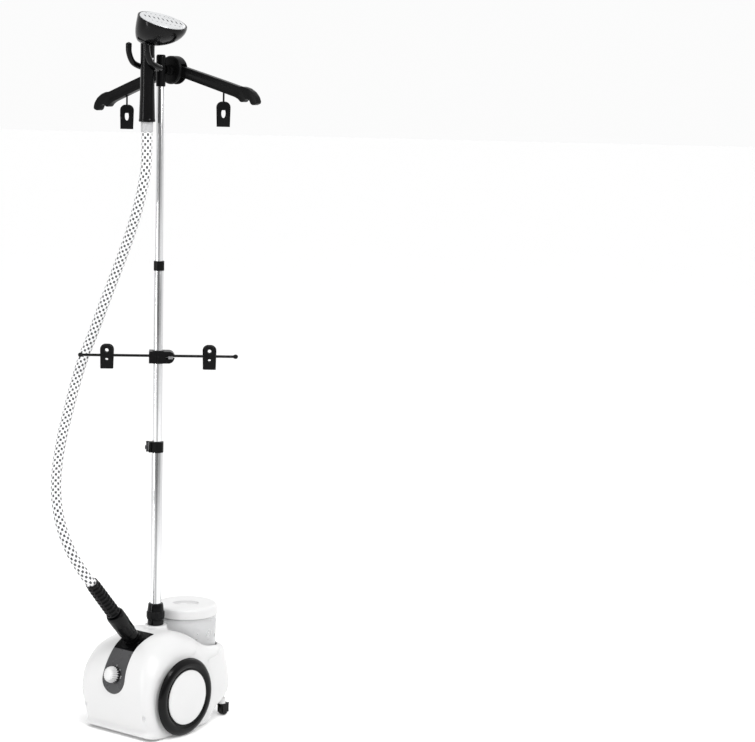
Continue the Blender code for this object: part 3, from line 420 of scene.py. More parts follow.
def clear_plastic(name, colour, roughness, transmission):
    """Moulded translucent plastic, a little cloudy."""
    mat, tree, shader = new_material(name)
    where = object_place(tree)
    cloud = noise(tree, where, 24.0, 4.0)
    surface(tree, shader, cloud, colour, 0.93, cloud, roughness * 0.8, roughness * 1.2)
    bump(tree, shader, noise(tree, where, 500.0, 2.0), 0.00002)
    fill(tree, shader, {"Transmission Weight": transmission, "IOR": 1.45})
    return mat


def woven_hose(name):
    """White braid with columns of dark flecks. UV: u once round, v in metres along the hose."""
    mat, tree, shader = new_material(name)
    row_pitch, flecks_round, threads_round, thread_pitch = 0.0070, 6.0, 24.0, 0.0034

    def calc(operation, first, second=None):
        return math_node(tree, operation, first, second)

    def from_middle(value):
        """Distance from the middle of each repeat."""
        return calc("ABSOLUTE", calc("SUBTRACT", calc("FRACT", value), 0.5))

    uv_map = add(tree, "ShaderNodeUVMap", uv_map="along")
    uv = add(tree, "ShaderNodeSeparateXYZ", {0: uv_map.outputs["UV"]})
    around, along = uv.outputs["X"], uv.outputs["Y"]
    rows = calc("DIVIDE", along, row_pitch)
    shift = calc("MULTIPLY", calc("MODULO", calc("FLOOR", rows), 2.0), 0.5)
    columns = calc("ADD", calc("MULTIPLY", around, flecks_round), shift)
    fleck = calc("MULTIPLY", calc("LESS_THAN", from_middle(columns), 0.20),
                 calc("LESS_THAN", from_middle(rows), 0.40))
    thread_noise = noise(tree, object_place(tree), 1400.0, 3.0)
    white = mix(tree, thread_noise, (0.70, 0.70, 0.71), (0.90, 0.90, 0.90))
    dark = mix(tree, thread_noise, (0.02, 0.02, 0.022), (0.06, 0.06, 0.065))
    tree.links.new(mix(tree, fleck, white, dark), shader.inputs["Base Color"])
    left, right = (
        calc("SINE", calc("MULTIPLY", calc(lean, calc("MULTIPLY", around, threads_round),
                                           calc("DIVIDE", along, thread_pitch)), 2 * pi))
        for lean in ("ADD", "SUBTRACT"))
    bump(tree, shader, calc("MULTIPLY", left, right), 0.00035, 0.8)
    fill(tree, shader, {"Roughness": 0.72, "Sheen Weight": 0.25, "Sheen Roughness": 0.5})
    return mat


WHITE = plastic("glossy_white_abs", (0.635, 0.635, 0.635), 0.38, 0.000010, coat=0.04, shade=0.99)
BLACK = plastic("glossy_black_abs", (0.0030, 0.0030, 0.0032), 0.17, 0.00001, shine=0.13)
SATIN_BLACK = plastic("satin_black_abs", (0.0035, 0.0035, 0.0037), 0.32, 0.00003, shine=0.08)
COIL = plastic("coil_black_rubber", (0.003, 0.003, 0.0032), 0.15, 0.00001, shine=0.10)
DEEP = plastic("socket_deep_black", (0.0018, 0.0018, 0.0020), 0.22, 0.00001, shine=0.04)
GREY_BLACK = plastic("dark_grey_abs", (0.022, 0.022, 0.024), 0.34, 0.00003, shine=0.3)
PANEL = plastic("panel_dark_grey", (0.050, 0.050, 0.052), 0.28, 0.00001, shine=0.3)
TYRE = plastic("wheel_rim_black", (0.0025, 0.0025, 0.0027), 0.20, 0.00001, shine=0.15)
RUBBER = plastic("matte_rubber", (0.010, 0.010, 0.010), 0.70, 0.00008, grain_scale=600.0, shine=0.3)
ICON = plastic("printed_light_grey", (0.60, 0.60, 0.61), 0.5, 0.00001)
# The pole tubes carry a painted reflection in their colour: a dark band and a greyer side.
CHROME = tube_metal_painted_reflection("bright_tube_painted_reflection", (0.90, 0.905, 0.915), 0.20)
STEEL = drawn_metal("plain_steel", (0.62, 0.62, 0.64), 0.30)
PLATE = drawn_metal("plate_aluminium", (0.80, 0.81, 0.82), 0.34, (30.0, 400.0, 30.0))
CAST = plastic("die_cast", (0.42, 0.42, 0.43), 0.55, 0.0002, grain_scale=300.0)
TANK = clear_plastic("tank_translucent", (0.90, 0.903, 0.908), 0.30, 0.60)
SMOKE = clear_plastic("smoke_translucent", (0.70, 0.70, 0.71), 0.25, 0.5)
LEVER = plastic("mid_grey_abs", (0.16, 0.16, 0.165), 0.34, 0.00003)
HOSE = woven_hose("woven_hose_sleeve")


# ------------------------------------------------------------------ placing pieces
def place(obj, body, material, slot, *nodes, at=(0, 0, 0), turn=0.0):
    """Puts a piece made about the pole's axis in the frame, on its body, in place of CAD nodes."""
    obj.data.materials.clear()
    obj.data.materials.append(material)
    obj.matrix_world = Matrix.Translation(POLE + Vector(at)) @ Matrix.Rotation(turn, 4, "Z")
    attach(obj, body)
    if nodes:
        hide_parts(*nodes)
    return obj


def keep(node, material, bevel):
    """Keeps a CAD node's own shape, with rounded edges and a finish."""
    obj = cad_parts[node]
    obj.data.materials.clear()
    obj.data.materials.append(material)
    if bevel:
        softened(obj, bevel)
    return obj


def aim_up(obj, location, tilt):
    """Tips a piece made about Z forward by tilt, with its z = 0 at location."""
    return moved(obj, location, (tilt, 0, 0))


# ------------------------------------------------------------------ camera, light and floor
def set_stage():
    yaw, pitch, roll = radians(36.55), radians(7.86), radians(1.37)
    place_of_camera, lens_mm = (3.218, -3.520, 1.474), 102.55
    floor_reach, floor_drop = 60, 0.0005
    forward = Vector((-sin(yaw) * cos(pitch), cos(yaw) * cos(pitch), -sin(pitch)))
    right = Vector((cos(yaw), sin(yaw), 0.0))
    up = right.cross(forward)
    side = right * cos(roll) + up * sin(roll)
    top = up * cos(roll) - right * sin(roll)
    camera = bpy.data.objects.new("camera", bpy.data.cameras.new("camera"))
    bpy.context.collection.objects.link(camera)
    camera.data.sensor_width = 36.0
    camera.data.sensor_fit = "HORIZONTAL"
    camera.data.lens = lens_mm
    camera.data.clip_end = 50.0
    turn = Matrix((side, top, -forward)).transposed().to_4x4()
    camera.matrix_world = Matrix.Translation(POLE + Vector(place_of_camera)) @ turn
    bpy.context.scene.camera = camera

    corners = [(x * floor_reach, y * floor_reach, 0) for x, y in ((-1, -1), (1, -1), (1, 1), (-1, 1))]
    floor_mesh = solid("floor", corners, [(0, 1, 2, 3)])
    floor_mesh.location.z = -floor_drop
    mat, tree, shader = new_material("floor_pale")
    patches = noise(tree, object_place(tree), 1.5)
    fill(tree, shader, {"Base Color": mix(tree, patches, (0.93, 0.93, 0.93), (0.95, 0.95, 0.95)),
                        "Roughness": 0.8, "Emission Color": (1.0, 1.0, 1.0, 1.0),
                        "Emission Strength": 0.13})
    floor_mesh.data.materials.append(mat)

    def area(name, position, target, size, power):
        light = bpy.data.objects.new(name, bpy.data.lights.new(name, "AREA"))
        light.data.shape = "RECTANGLE"
        light.data.size, light.data.size_y = size
        light.data.energy = power
        light.location = position
        aim = Vector(target) - Vector(position)
        light.rotation_euler = aim.to_track_quat("-Z", "Y").to_euler()
        bpy.context.collection.objects.link(light)

    area("key_left", (-1.3, -3.8, 1.35), (0, 0, 0.8), (0.40, 2.5), 48.0)
    area("fill_right", (2.5, -0.35, 2.35), (0.1, 0, 0.15), (0.45, 0.8), 30.0)
    area("top", (1.35, -1.0, 3.2), (0.1, 0, 0.2), (0.7, 0.7), 36.0)
    area("rear", (-0.8, 3.4, 2.2), (0, 0, 0.8), (1.4, 1.6), 10.0)

    world = bpy.data.worlds.new("studio")
    bpy.context.scene.world = world
    world.use_nodes = True
    tree = world.node_tree
    direction = add(tree, "ShaderNodeTexCoord").outputs["Generated"]
    parts = add(tree, "ShaderNodeSeparateXYZ", {0: direction}).outputs
    tone = ramp(tree, parts["Z"], ((0.30, 0.97), (0.75, 1.0)))
    ahead = math_node(tree, "ADD", math_node(tree, "MULTIPLY", parts["X"], forward.x),
                      math_node(tree, "MULTIPLY", parts["Y"], forward.y))
    near_side = spread(tree, ahead, 0.0, 1.0, -0.35, 0.10)
    lifted = spread(tree, parts["Z"], 0.0, 1.0, 0.35, 0.65)
    full = math_node(tree, "MAXIMUM", near_side, lifted)
    dimmed = mix(tree, full, (0.36, 0.36, 0.36), (1.0, 1.0, 1.0))
    fill(tree, tree.nodes["Background"], {"Color": mix(tree, 1.0, tone, dimmed, "MULTIPLY"),
                                          "Strength": 1.0})
    bpy.context.scene.view_settings.view_transform = "Standard"


# ------------------------------------------------------------------ hose
def swept_tube(name, path, radius, sides):
    """A tube along a path, with UVs: u once round, v the length in metres."""
    tangents = []
    for i in range(len(path)):
        a, b = path[max(i - 1, 0)], path[min(i + 1, len(path) - 1)]
        tangents.append((b - a).normalized())
    normal = Vector((1.0, 0.0, 0.0))
    rings, lengths = [], [0.0]
    for i, (point, tangent) in enumerate(zip(path, tangents)):
        if i:
            lengths.append(lengths[-1] + (point - path[i - 1]).length)
        normal = (normal - tangent * normal.dot(tangent)).normalized()
        other = tangent.cross(normal)
        rings.append([point + (normal * cos(a) + other * sin(a)) * radius(lengths[-1])
                      for a in full_turn(sides)])
    obj = rings_solid(name, [[tuple(p) for p in ring] for ring in rings])
    layer = obj.data.uv_layers.new(name="along")
    for face in obj.data.polygons:
        if len(face.loop_indices) != 4:
            continue
        spots = [divmod(obj.data.loops[i].vertex_index, sides) for i in face.loop_indices]
        wraps = {k for _, k in spots} == {0, sides - 1}
        for i, (row, k) in zip(face.loop_indices, spots):
            layer.data[i].uv = (1.0 if (wraps and k == 0) else k / sides, lengths[row])
    return obj, lengths[-1]


def make_hose():
    path = smooth_path(HOSE_ROUTE, 10)
    hose, length = swept_tube("woven_hose", path, lambda s: HOSE_RADIUS, 40)
    place(hose, "base", HOSE, "hose_fabric", "steam_hose")
    boot = make_boot()
    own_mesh(hose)


def make_boot():
    """The ribbed rubber boot between the coupling and the hose."""
    base, ribs, pitch, groove = COUPLING_LENGTH + 0.0003, 9, 0.0112, 0.0032
    crest_radius, taper, web_radius, bore = 0.0164, 0.0011, 0.0152, HOSE_RADIUS + 0.0008
    profile = [(bore, base), (0.0158, base), (crest_radius, base + 0.0015)]
    for k in range(ribs):
        crest = crest_radius - taper * k / ribs
        z = base + 0.002 + k * pitch
        profile += rounded([(crest - groove, z), (crest, z + 0.0018), (crest, z + 0.0060),
                            (crest - groove, z + 0.0078), (crest - groove, z + pitch)], 0.0012, 3)
    profile += [(0.0146, base + 0.104), (0.0140, base + 0.110), (bore, base + 0.110)]

    def webs(angle, radius, height):
        """Two webs run along the boot and bridge its ribs."""
        web = max(0.0, cos(2 * angle)) ** 20
        return max(radius, radius + (web_radius - radius) * web)
    boot = turned("hose_boot_ribbed", profile, 72, webs)
    place(aim_up(boot, SOCKET_RIM, SOCKET_TILT), "base", COIL, "black_plastic", "hose_boot")
    return boot


# ------------------------------------------------------------------ base
def outline_curve(per_span):
    """The housing's middle outline as (y, z, edge radius, is underside)."""
    count = len(BODY_OUTLINE)
    under = [i >= OUTLINE_UNDERSIDE_FROM or i == 0 for i in range(count)]
    points = []
    for i, point in enumerate(smooth_path(BODY_OUTLINE, per_span, closed=True)):
        start = i // per_span
        flag = under[start] and (under[(start + 1) % count] or i % per_span == 0)
        points.append((point.x, point.y, max(point.z, FLOOR_GAP), flag))
    return points


def outward(points, i):
    """Unit normal of a (y, z) outline at a point, away from its inside."""
    before, after = points[i - 1], points[(i + 1) % len(points)]
    dy, dz = after[0] - before[0], after[1] - before[1]
    length = sqrt(dy * dy + dz * dz) or 1.0
    return -dz / length, dy / length


def housing(name, offset=0.0, drop=0.0, per_span=8, across_steps=22):
    """The housing's outer form as a solid, offset inwards, with its underside dropped."""
    middle = outline_curve(per_span)
    half = BODY_HALF_WIDTH - offset
    shares = [sin(pi / 2 * (k / across_steps)) ** SIDE_POWER for k in range(across_steps + 1)]
    rings = []
    for share in [-s for s in reversed(shares[1:])] + shares:
        across = abs(share) * BODY_HALF_WIDTH
        rear = (1 - (REAR_ROUNDING * abs(share)) ** REAR_POWER) ** (1 / REAR_POWER)
        section = [(REAR_START + (y - REAR_START) * rear if y > REAR_START else y, z, radius, under)
                   for y, z, radius, under in middle]
        ring = []
        for i, (y, z, radius, under) in enumerate(section):
            at_foot = y < FRONT_FOOT_Y and z < FRONT_FOOT_Z
            ny, nz = (-1.0, 0.0) if at_foot else outward(section, i)
            reach = max(0.0, across - (BODY_HALF_WIDTH - radius))
            inset = offset + radius - sqrt(max(0.0, radius ** 2 - reach ** 2))
            if under:
                back = inset * min(1.0, max(0.0, y / FRONT_EDGE_Y))
                ring.append((share * half, y + back, z - drop))
            else:
                ring.append((share * half, y - ny * inset, max(FLOOR_GAP, z - nz * inset)))
        rings.append(ring)
    return rings_solid(name, rings)


def front_point(height):
    """Point and outward normal of the housing's front at a height, in the middle plane."""
    points = outline_curve(8)
    front = [(y, z) for y, z, _, under in points if y < 0.0 and not under]
    index = min(range(1, len(front) - 1), key=lambda i: abs(front[i][1] - height))
    (y, z), before, after = front[index], front[index - 1], front[index + 1]
    dy, dz = after[0] - before[0], after[1] - before[1]
    length = sqrt(dy * dy + dz * dz)
    return Vector((0.0, y, z)), Vector((0.0, -dz / length, dy / length))


def panel_frame():
    """The panel's middle line: a function from a distance along it to (y, z, normal), and its
    length."""
    points = [(y, z) for y, z, _, under in outline_curve(8) if not under and 0.09 < z and y < -0.036]
    lengths = [0.0]
    for a, b in zip(points, points[1:]):
        lengths.append(lengths[-1] + sqrt((b[0] - a[0]) ** 2 + (b[1] - a[1]) ** 2))
    total = lengths[-1]

    def at(distance):
        distance = min(max(distance, 0.0), total)
        k = next((i for i, s in enumerate(lengths) if s >= distance), len(lengths) - 1) or 1
        t = (distance - lengths[k - 1]) / (lengths[k] - lengths[k - 1])
        a, b = Vector(points[k - 1]), Vector(points[k])
        near, far = Vector(points[max(k - 2, 0)]), Vector(points[min(k + 1, len(points) - 1)])
        along = (far - near).normalized()
        spot = a.lerp(b, t)
        return spot.x, spot.y, (-along.y, along.x)
    return at, total


def panel_solid(name, below, above, grow=0.0, first=0.0, last=1.0):
    """The control strip, round at its foot: from below the housing's surface to above it, grown
    by a margin all round. first and last are the shares of its length where it begins and ends."""
    at, total = panel_frame()
    start, radius, chamfer = 0.006, PANEL_HALF_WIDTH, 0.0004
    round_end = [radius * (1 - cos(radians(a))) for a in (6, 12, 20, 30, 40, 50, 60, 70, 80, 90)]
    steps = round_end + [radius + (total - start - radius) * k / 26 for k in range(1, 27)]
    steps = [step for step in steps if first <= step / (total - start) <= last]
    rings = []
    for i, step in enumerate(steps):
        width = sqrt(max(0.0, radius ** 2 - (radius - step) ** 2)) if step < radius else radius
        waist = 1.0 - 0.10 * sin(pi * max(0.0, min(1.0, (step - radius) / (total - radius))))
        width = width * waist + grow
        stretch = -grow if i == 0 else grow if i == len(steps) - 1 else 0.0
        y, z, normal = at(start + step + stretch)
        corners = ((-1, -below), (1, -below), (1, above - chamfer), (0.985, above), (-0.985, above),
                   (-1, above - chamfer))
        rings.append([(side * width, y + normal[0] * lift, z + normal[1] * lift)
                      for side, lift in corners])
    return rings_solid(name, rings)


def socket_hole():
    """The tool that opens the housing and the panel for the hose's socket."""
    return aim_up(cylinder("hole", 0.0183, -0.045, 0.02, 48), SOCKET_RIM, SOCKET_TILT)


def make_housing():
    shell = housing("housing_cover")
    boss_profile = [(0, 0.19), (0.0290, 0.19), (0.0290, 0.2160), (0.0272, 0.2205), (0.0258, 0.2262),
                    (0.0240, 0.2285), (0, 0.2285)]
    join(shell, turned("boss", boss_profile, 72))
    cut(shell, housing("inside", offset=WALL, drop=0.03, per_span=4, across_steps=12))
    well = moved(cylinder("well", SEAT_RADIUS + 0.0003, 0.10, 0.25, 96), (0, TANK_Y, 0))
    pole_hole = cylinder("hole", 0.0158, 0.15, 0.25, 48)
    inlet_hole = moved(cylinder("hole", 0.0078, -0.02, 0.02, 24), (-0.045, 0.197, 0.075), (pi / 2, 0, 0))
    recess = panel_solid("recess", below=0.0019, above=0.02, grow=0.0004)
    cut(shell, well, pole_hole, recess, socket_hole(), inlet_hole)
    add_screws(shell)
    place(shell, "base", WHITE, "white_plastic", "body_shell")

    bore, wall = 0.0065, SEAT_RADIUS - 0.002
    seat = turned("seat", [(bore, 0.0775), (SEAT_RADIUS, 0.0775), (SEAT_RADIUS, 0.24), (wall, 0.24),
                           (wall, 0.0800), (bore, 0.0800)], 96)
    moved(seat, (0, TANK_Y, 0))
    combine(seat, [housing("trim", offset=0.0002)], "INTERSECT")
    seat.name = "tank_cup"
    place(seat, "base", WHITE, "white_plastic", "tank_seat")

    panel = panel_solid("front_panel", below=0.0016, above=0.0006, last=PANEL_SPLIT)
    panel_top = panel_solid("socket_panel", below=0.0016, above=0.0007, first=PANEL_SPLIT - 0.03)
    cut(panel_top, socket_hole())
    place(panel_top, "base", DEEP, "black_plastic")
    place(panel, "base", PANEL, "dark_panel", "control_panel")
    make_icons()
    place(make_crater(), "base", DEEP, "black_plastic", "hose_socket")
    make_coupling()


def add_screws(shell):
    """A dimple with a crosshead screw near each lower front corner of the housing."""
    dimple_profile = [(0, -0.0016), (0.0046, -0.0014), (0.0056, 0.0010), (0, 0.0010)]
    screw_profile = [(0, -0.0022), (0.0029, -0.0022), (0.0029, -0.0009), (0.0020, -0.0004), (0, -0.0003)]
    for side, name in SIDES:
        _, point, normal, _ = shell.ray_cast(Vector((side * 0.088, -0.3, 0.0545)), Vector((0, 1, 0)))
        turn = normal.to_track_quat("Z", "Y").to_matrix().to_4x4()
        dimple = turned("dimple", rounded(dimple_profile, 0.0006, 3), 40)
        dimple.data.transform(Matrix.Diagonal((0.85, 1.45, 1.0, 1.0)))
        dimple.data.transform(Matrix.Translation(point) @ turn)
        cut(shell, dimple)
        screw = turned(f"housing_screw_{name}", rounded(screw_profile, 0.0003, 2), 24)
        for angle in (0, pi / 2):
            slot = box("slot", (-0.0017, -0.0003, -0.0008), (0.0017, 0.0003, 0.002))
            cut(screw, moved(slot, rotation=(0, 0, angle)))
        screw.data.transform(Matrix.Translation(point) @ turn)
        place(screw, "base", STEEL, "steel")


def make_coupling():
    """The hose's screw coupling in the socket, with a fluted grip."""
    profile = [(0.0060, -0.032), (0.0130, -0.032), (0.0133, 0.0026), (0.0178, 0.0030), (0.0186, 0.006),
               (0.0184, 0.020), (0.0196, 0.022), (0.0200, 0.050), (0.0206, 0.053), (0.0207, 0.079),
               (0.0192, COUPLING_LENGTH), (0.0060, COUPLING_LENGTH)]

    def flutes(angle, radius, height):
        on_grip = 0.0225 < height < 0.049 and radius > 0.019
        return radius - (0.0005 * max(0.0, cos(12 * angle)) ** 3 if on_grip else 0.0)
    coupling = turned("hose_coupling_grip", rounded(profile, 0.0012, 4, closed=True), 96, flutes)
    place(aim_up(coupling, SOCKET_RIM, SOCKET_TILT), "base", BLACK, "black_plastic", "hose_coupling")


def make_crater():
    """The socket's tube, flaring into a glossy dished collar that runs up the panel to its tip."""
    at, total = panel_frame()
    tilt = Matrix.Rotation(SOCKET_TILT, 3, "X")
    axis = tilt @ Vector((0, 0, 1))
    angles = full_turn(96)

    def miss(distance):
        """How far a point of the panel's middle line is from the socket's axis."""
        y, z, _ = at(distance)
        return ((Vector((0, y, z)) - SOCKET_RIM).cross(axis)).length

    def circle(radius, height, facet=0.0):
        """A ring about the socket's axis, drawn in between eight corners."""
        ring = []
        for angle in angles:
            drawn = radius * (1.0 - facet * abs(sin(4 * angle)))
            ring.append(SOCKET_RIM + tilt @ Vector((drawn * cos(angle), drawn * sin(angle), height)))
        return ring
    centre = min((total * k / 200 for k in range(201)), key=miss)
    up, down, wide = total - centre - 0.0045, 0.0330, 0.0268
    rings = [circle(radius, height, 0.030 if height > -0.004 and radius > 0.0145 else 0.0)
             for radius, height in ((0.0138, -0.030), (0.0138, -0.002), (0.0144, 0.0006),
                                    (0.0160, 0.0016), (0.0176, 0.0012), (0.0184, -0.0002),
                                    (0.0182, -0.0020), (0.0176, -0.0045))]
    foot = circle(0.0176, -0.0075)
    outer = []
    for angle in angles:
        reach = up if sin(angle) > 0 else down
        x = wide * cos(angle) * (1.0 if sin(angle) <= 0 else (1 - 0.45 * sin(angle) ** 3))
        y, z, normal = at(centre + reach * sin(angle))
        outer.append((Vector((x, y, z)), Vector((0, normal[0], normal[1]))))
    for share, lift in ((0.10, 0.0), (0.25, -0.0004), (0.45, 0.0), (0.65, 0.0012), (0.80, 0.0024),
                        (0.90, 0.0029), (0.97, 0.0024), (1.0, 0.0010), (1.0, -0.0008)):
        rings.append([inner.lerp(edge, share) + normal * lift
                      for inner, (edge, normal) in zip(foot, outer)])
    rings.append(circle(0.0178, -0.030))
    rings = [[tuple(point) for point in ring] for ring in rings]
    return rings_solid("hose_socket_flared", rings, closed_loop=True, sharp=50)


def make_icons():
    """Three generic steam marks beside the knob: one, two and three short waves over a line."""
    at, _ = panel_frame()
    wave_height, wave_sway, wave_gap, line_half = 0.0064, 0.0006, 0.0022, 0.0034
    for count, (x, distance) in enumerate(((0.0015, 0.0685), (0.0135, 0.0600), (0.0195, 0.0470)), 1):
        y, z, normal = at(distance)
        out = Vector((0.0, normal[0], normal[1]))
        along = Vector((0.0, normal[1], -normal[0]))
        centre = Vector((x, y, z)) + out * 0.00075
        for k in range(count):
            shift = (k - (count - 1) / 2) * wave_gap
            path = [centre + Vector((shift + wave_sway * sin(2 * pi * t), 0, 0)) + along * (wave_height * t)
                    for t in (step / 16 - 0.5 for step in range(17))]
            mark, _ = swept_tube(f"steam_mark_{count}_{k + 1}", path, lambda s: 0.00032, 8)
            place(mark, "base", ICON, "white_plastic")
        under = [centre + Vector((line_half * (t / 8 - 0.5) * 2, 0, 0)) - along * 0.0047 for t in range(9)]
        mark, _ = swept_tube(f"steam_mark_{count}_line", under, lambda s: 0.00028, 8)
        place(mark, "base", ICON, "white_plastic")


def make_knob():
    point, normal = front_point(KNOB_Z)
    seat = point + normal * 0.0010
    tilt = pi / 2 - atan2(normal.z, -normal.y)
    flute_count, flute_depth, flutes_from = 20, 0.0044, 0.0112

    def flutes(angle, radius, height):
        """Flutes that run out towards the middle of the cap."""
        if radius < flutes_from:
            return radius
        depth = flute_depth * min(1.0, (radius - flutes_from) / 0.005)
        return radius - depth * (0.5 - 0.5 * cos(flute_count * angle)) ** 1.2
    skirt_profile = [(0, 0.0004), (0.0193, 0.0), (0.0193, 0.0038), (0.0170, 0.0052), (0, 0.0052)]
    cap_profile = [(0, 0.0050), (0.0182, 0.0050), (0.0186, 0.0068), (0.0176, 0.0130),
                   (0.0160, 0.0168), (0.0128, 0.0192), (0.0084, 0.0206), (0.0040, 0.0212), (0, 0.0213)]
    # The black skirt shows in the gaps between the flutes as painted shade and painted reflection; the
    # white ticks carry the white ridges down across it.
    painted_shade_skirt = turned("knob_skirt", rounded(skirt_profile, 0.0008, 3), 104)
    cap = turned("knob_cap", rounded(cap_profile, 0.0012, 3), 208, flutes, 50)
    place(aim_up(painted_shade_skirt, seat, tilt), "knob", BLACK, "black_plastic")
    place(aim_up(cap, seat, tilt), "knob", WHITE, "white_plastic", "steam_knob")
    tips, *others = [moved(box("tick", (0.0174, -0.0004, 0.0036), (0.0191, 0.0004, 0.0042)),
                           rotation=(0, 0, angle)) for angle in full_turn(flute_count)]
    join(tips, *others)
    tips.name = "knob_skirt_flute_ends"
    place(aim_up(tips, seat, tilt), "knob", WHITE, "white_plastic")


def make_tank():
    place_of_tank, bore, wall = (0, TANK_Y, 0), 0.0116, TANK_RADIUS - 0.002
    tank_profile = [(bore, 0.0920), (0.0640, 0.0920), (0.0665, 0.0965), (TANK_RADIUS, TANK_RIM_Z),
                    (wall, TANK_RIM_Z), (0.0648, 0.0975), (0.0630, 0.0945), (bore, 0.0945)]
    tank = turned("tank_shell", rounded(tank_profile, 0.0012, 3, closed=True), 120)
    place(tank, "tank", TANK, "tank_plastic", "water_tank", at=place_of_tank)
    lid_profile = [(0, 0.2345), (0.0660, 0.2345), (0.0660, 0.2280), (0.0680, 0.2280), (0.0680, 0.2358),
                   (0.0712, 0.2358), (0.0718, 0.2372), (0.0718, 0.2520), (0.0706, 0.2568),
                   (0.0668, 0.2592), (0.0600, LID_TOP_Z), (0, LID_TOP_Z)]
    lid = turned("tank_lid_cover", rounded(lid_profile, 0.0022, 5), 144)
    grip = turned("grip", [(0, 0.2532), (0.955, 0.2532), (0.985, 0.2540), (1.0, 0.2560), (1.0, 0.27),
                           (0, 0.27)], 64)
    grip.data.transform(Matrix.Diagonal((0.030, 0.0205, 1, 1)))
    cut(lid, moved(grip, (0.002, -0.003, 0), (0, 0, BAR_TURN)))
    place(lid, "lid", WHITE, "white_plastic", "tank_lid", at=place_of_tank)
    seam_profile = [(0.0682, 0.2352), (0.0704, 0.2352), (0.0704, 0.2360), (0.0682, 0.2360)]
    seam = turned("lid_seam", seam_profile, 120)
    place(seam, "lid", GREY_BLACK, "black_plastic", at=place_of_tank)


def make_wheels():
    inner, outer = WHEEL_INNER_X, WHEEL_INNER_X + TYRE_WIDTH
    seat, shoulder = HUB_RADIUS + 0.0003, WHEEL_RADIUS - 0.0004
    tyre_profile = [
        (seat, inner), (0.0745, inner), (0.0800, inner + 0.0020), (0.0846, inner + 0.0050),
        (shoulder, inner + 0.0075), (WHEEL_RADIUS, inner + 0.0088), (shoulder, inner + 0.0100),
        (0.0860, inner + 0.0104), (0.0858, inner + 0.0116), (0.0838, inner + 0.0142),
        (0.0800, inner + 0.0166), (0.0755, outer), (0.0705, outer - 0.0002),
        (0.0670, outer - 0.0014), (0.0652, outer - 0.0030), (0.0640, outer - 0.0030),
        (0.0632, outer - 0.0016), (seat, outer - 0.0018)]
    disc_profile = [(0, 0.1204), (0.0043, 0.1204), (0.0043, inner), (HUB_RADIUS, inner),
                    (HUB_RADIUS, 0.1230), (0.0598, 0.1244), (0.0575, 0.1244), (0.0568, 0.1250),
                    (0.0520, 0.1258), (0.0300, 0.1265), (0, 0.1268)]
    tyre_profile = rounded(tyre_profile, 0.0010, 4, closed=True)
    disc_profile = rounded(disc_profile, 0.0006, 3)
    for side, name in SIDES:
        for piece, look, slot, node in (
                (turned(f"rim_{name}", tyre_profile, 160), TYRE, "tyre_black", f"tyre_{name}"),
                (turned(f"disc_{name}", disc_profile, 128), WHITE, "white_plastic", f"wheel_disc_{name}")):
            moved(piece, rotation=(0, side * pi / 2, 0))
            place(piece, f"wheel_{name}", look, slot, node, at=(0, WHEEL_Y, WHEEL_RADIUS))


# ------------------------------------------------------------------ pole
def make_pole():
    nut_profile = [(0.0152, 0.2415), (0.0192, 0.2415), (0.0200, 0.2424), (0.0200, 0.2440),
                   (0.0192, 0.2446), (0.0192, 0.2452), (0.0206, 0.2456), (0.0206, 0.2584),
                   (0.0194, 0.2594), (0.0188, 0.2600), (0.0184, 0.2640), (0.0168, 0.2764),
                   (0.0160, 0.2777), (0.0128, 0.2777), (0.0128, 0.2640), (0.0152, 0.2606)]

    def ribs(angle, radius, height):
        if not 0.2450 < height < 0.2592 or radius < 0.0195:
            return radius
        return radius - 0.0011 * (0.5 - 0.5 * cos(24 * angle)) ** 3
    nut = turned("clamp_nut_ribbed", rounded(nut_profile, 0.0005, 3, closed=True), 192, ribs)
    place(nut, "clamp_nut", BLACK, "black_plastic", "pole_clamp_nut")
    ring_profile = [(0.0128, 0.2288), (0.0176, 0.2288), (0.0184, 0.2300), (0.0180, 0.2400),
                    (0.0172, 0.2412), (0.0148, 0.2412), (0.0148, 0.2600), (0.0128, 0.2600)]
    ring = turned("clamp_base_ring", rounded(ring_profile, 0.0005, 3, closed=True), 96)
    place(ring, "base", BLACK, "black_plastic", "pole_clamp_seat")
    for node, radius, bottom, top, body in (("lower_pole", 0.0125, 0.0273, 0.640, "base"),
                                            ("middle_pole", 0.0102, 0.470, 1.045, "middle_section"),
                                            ("upper_pole", 0.0086, 0.720, 1.498, "upper_section")):
        inner = radius - 0.0012
        profile = [(inner, bottom), (radius, bottom), (radius, top), (inner, top)]
        tube = turned(f"{node}_tube", rounded(profile, 0.0004, 2, closed=True), 96)
        place(tube, body, CHROME, "aluminium", node)
    keep("lower_lock_collar", SATIN_BLACK, 0.0006)
    keep("upper_lock_collar", SATIN_BLACK, 0.0006)
    keep("lower_lock_lever", GREY_BLACK, 0.0006)
    keep("upper_lock_lever", SATIN_BLACK, 0.0006)


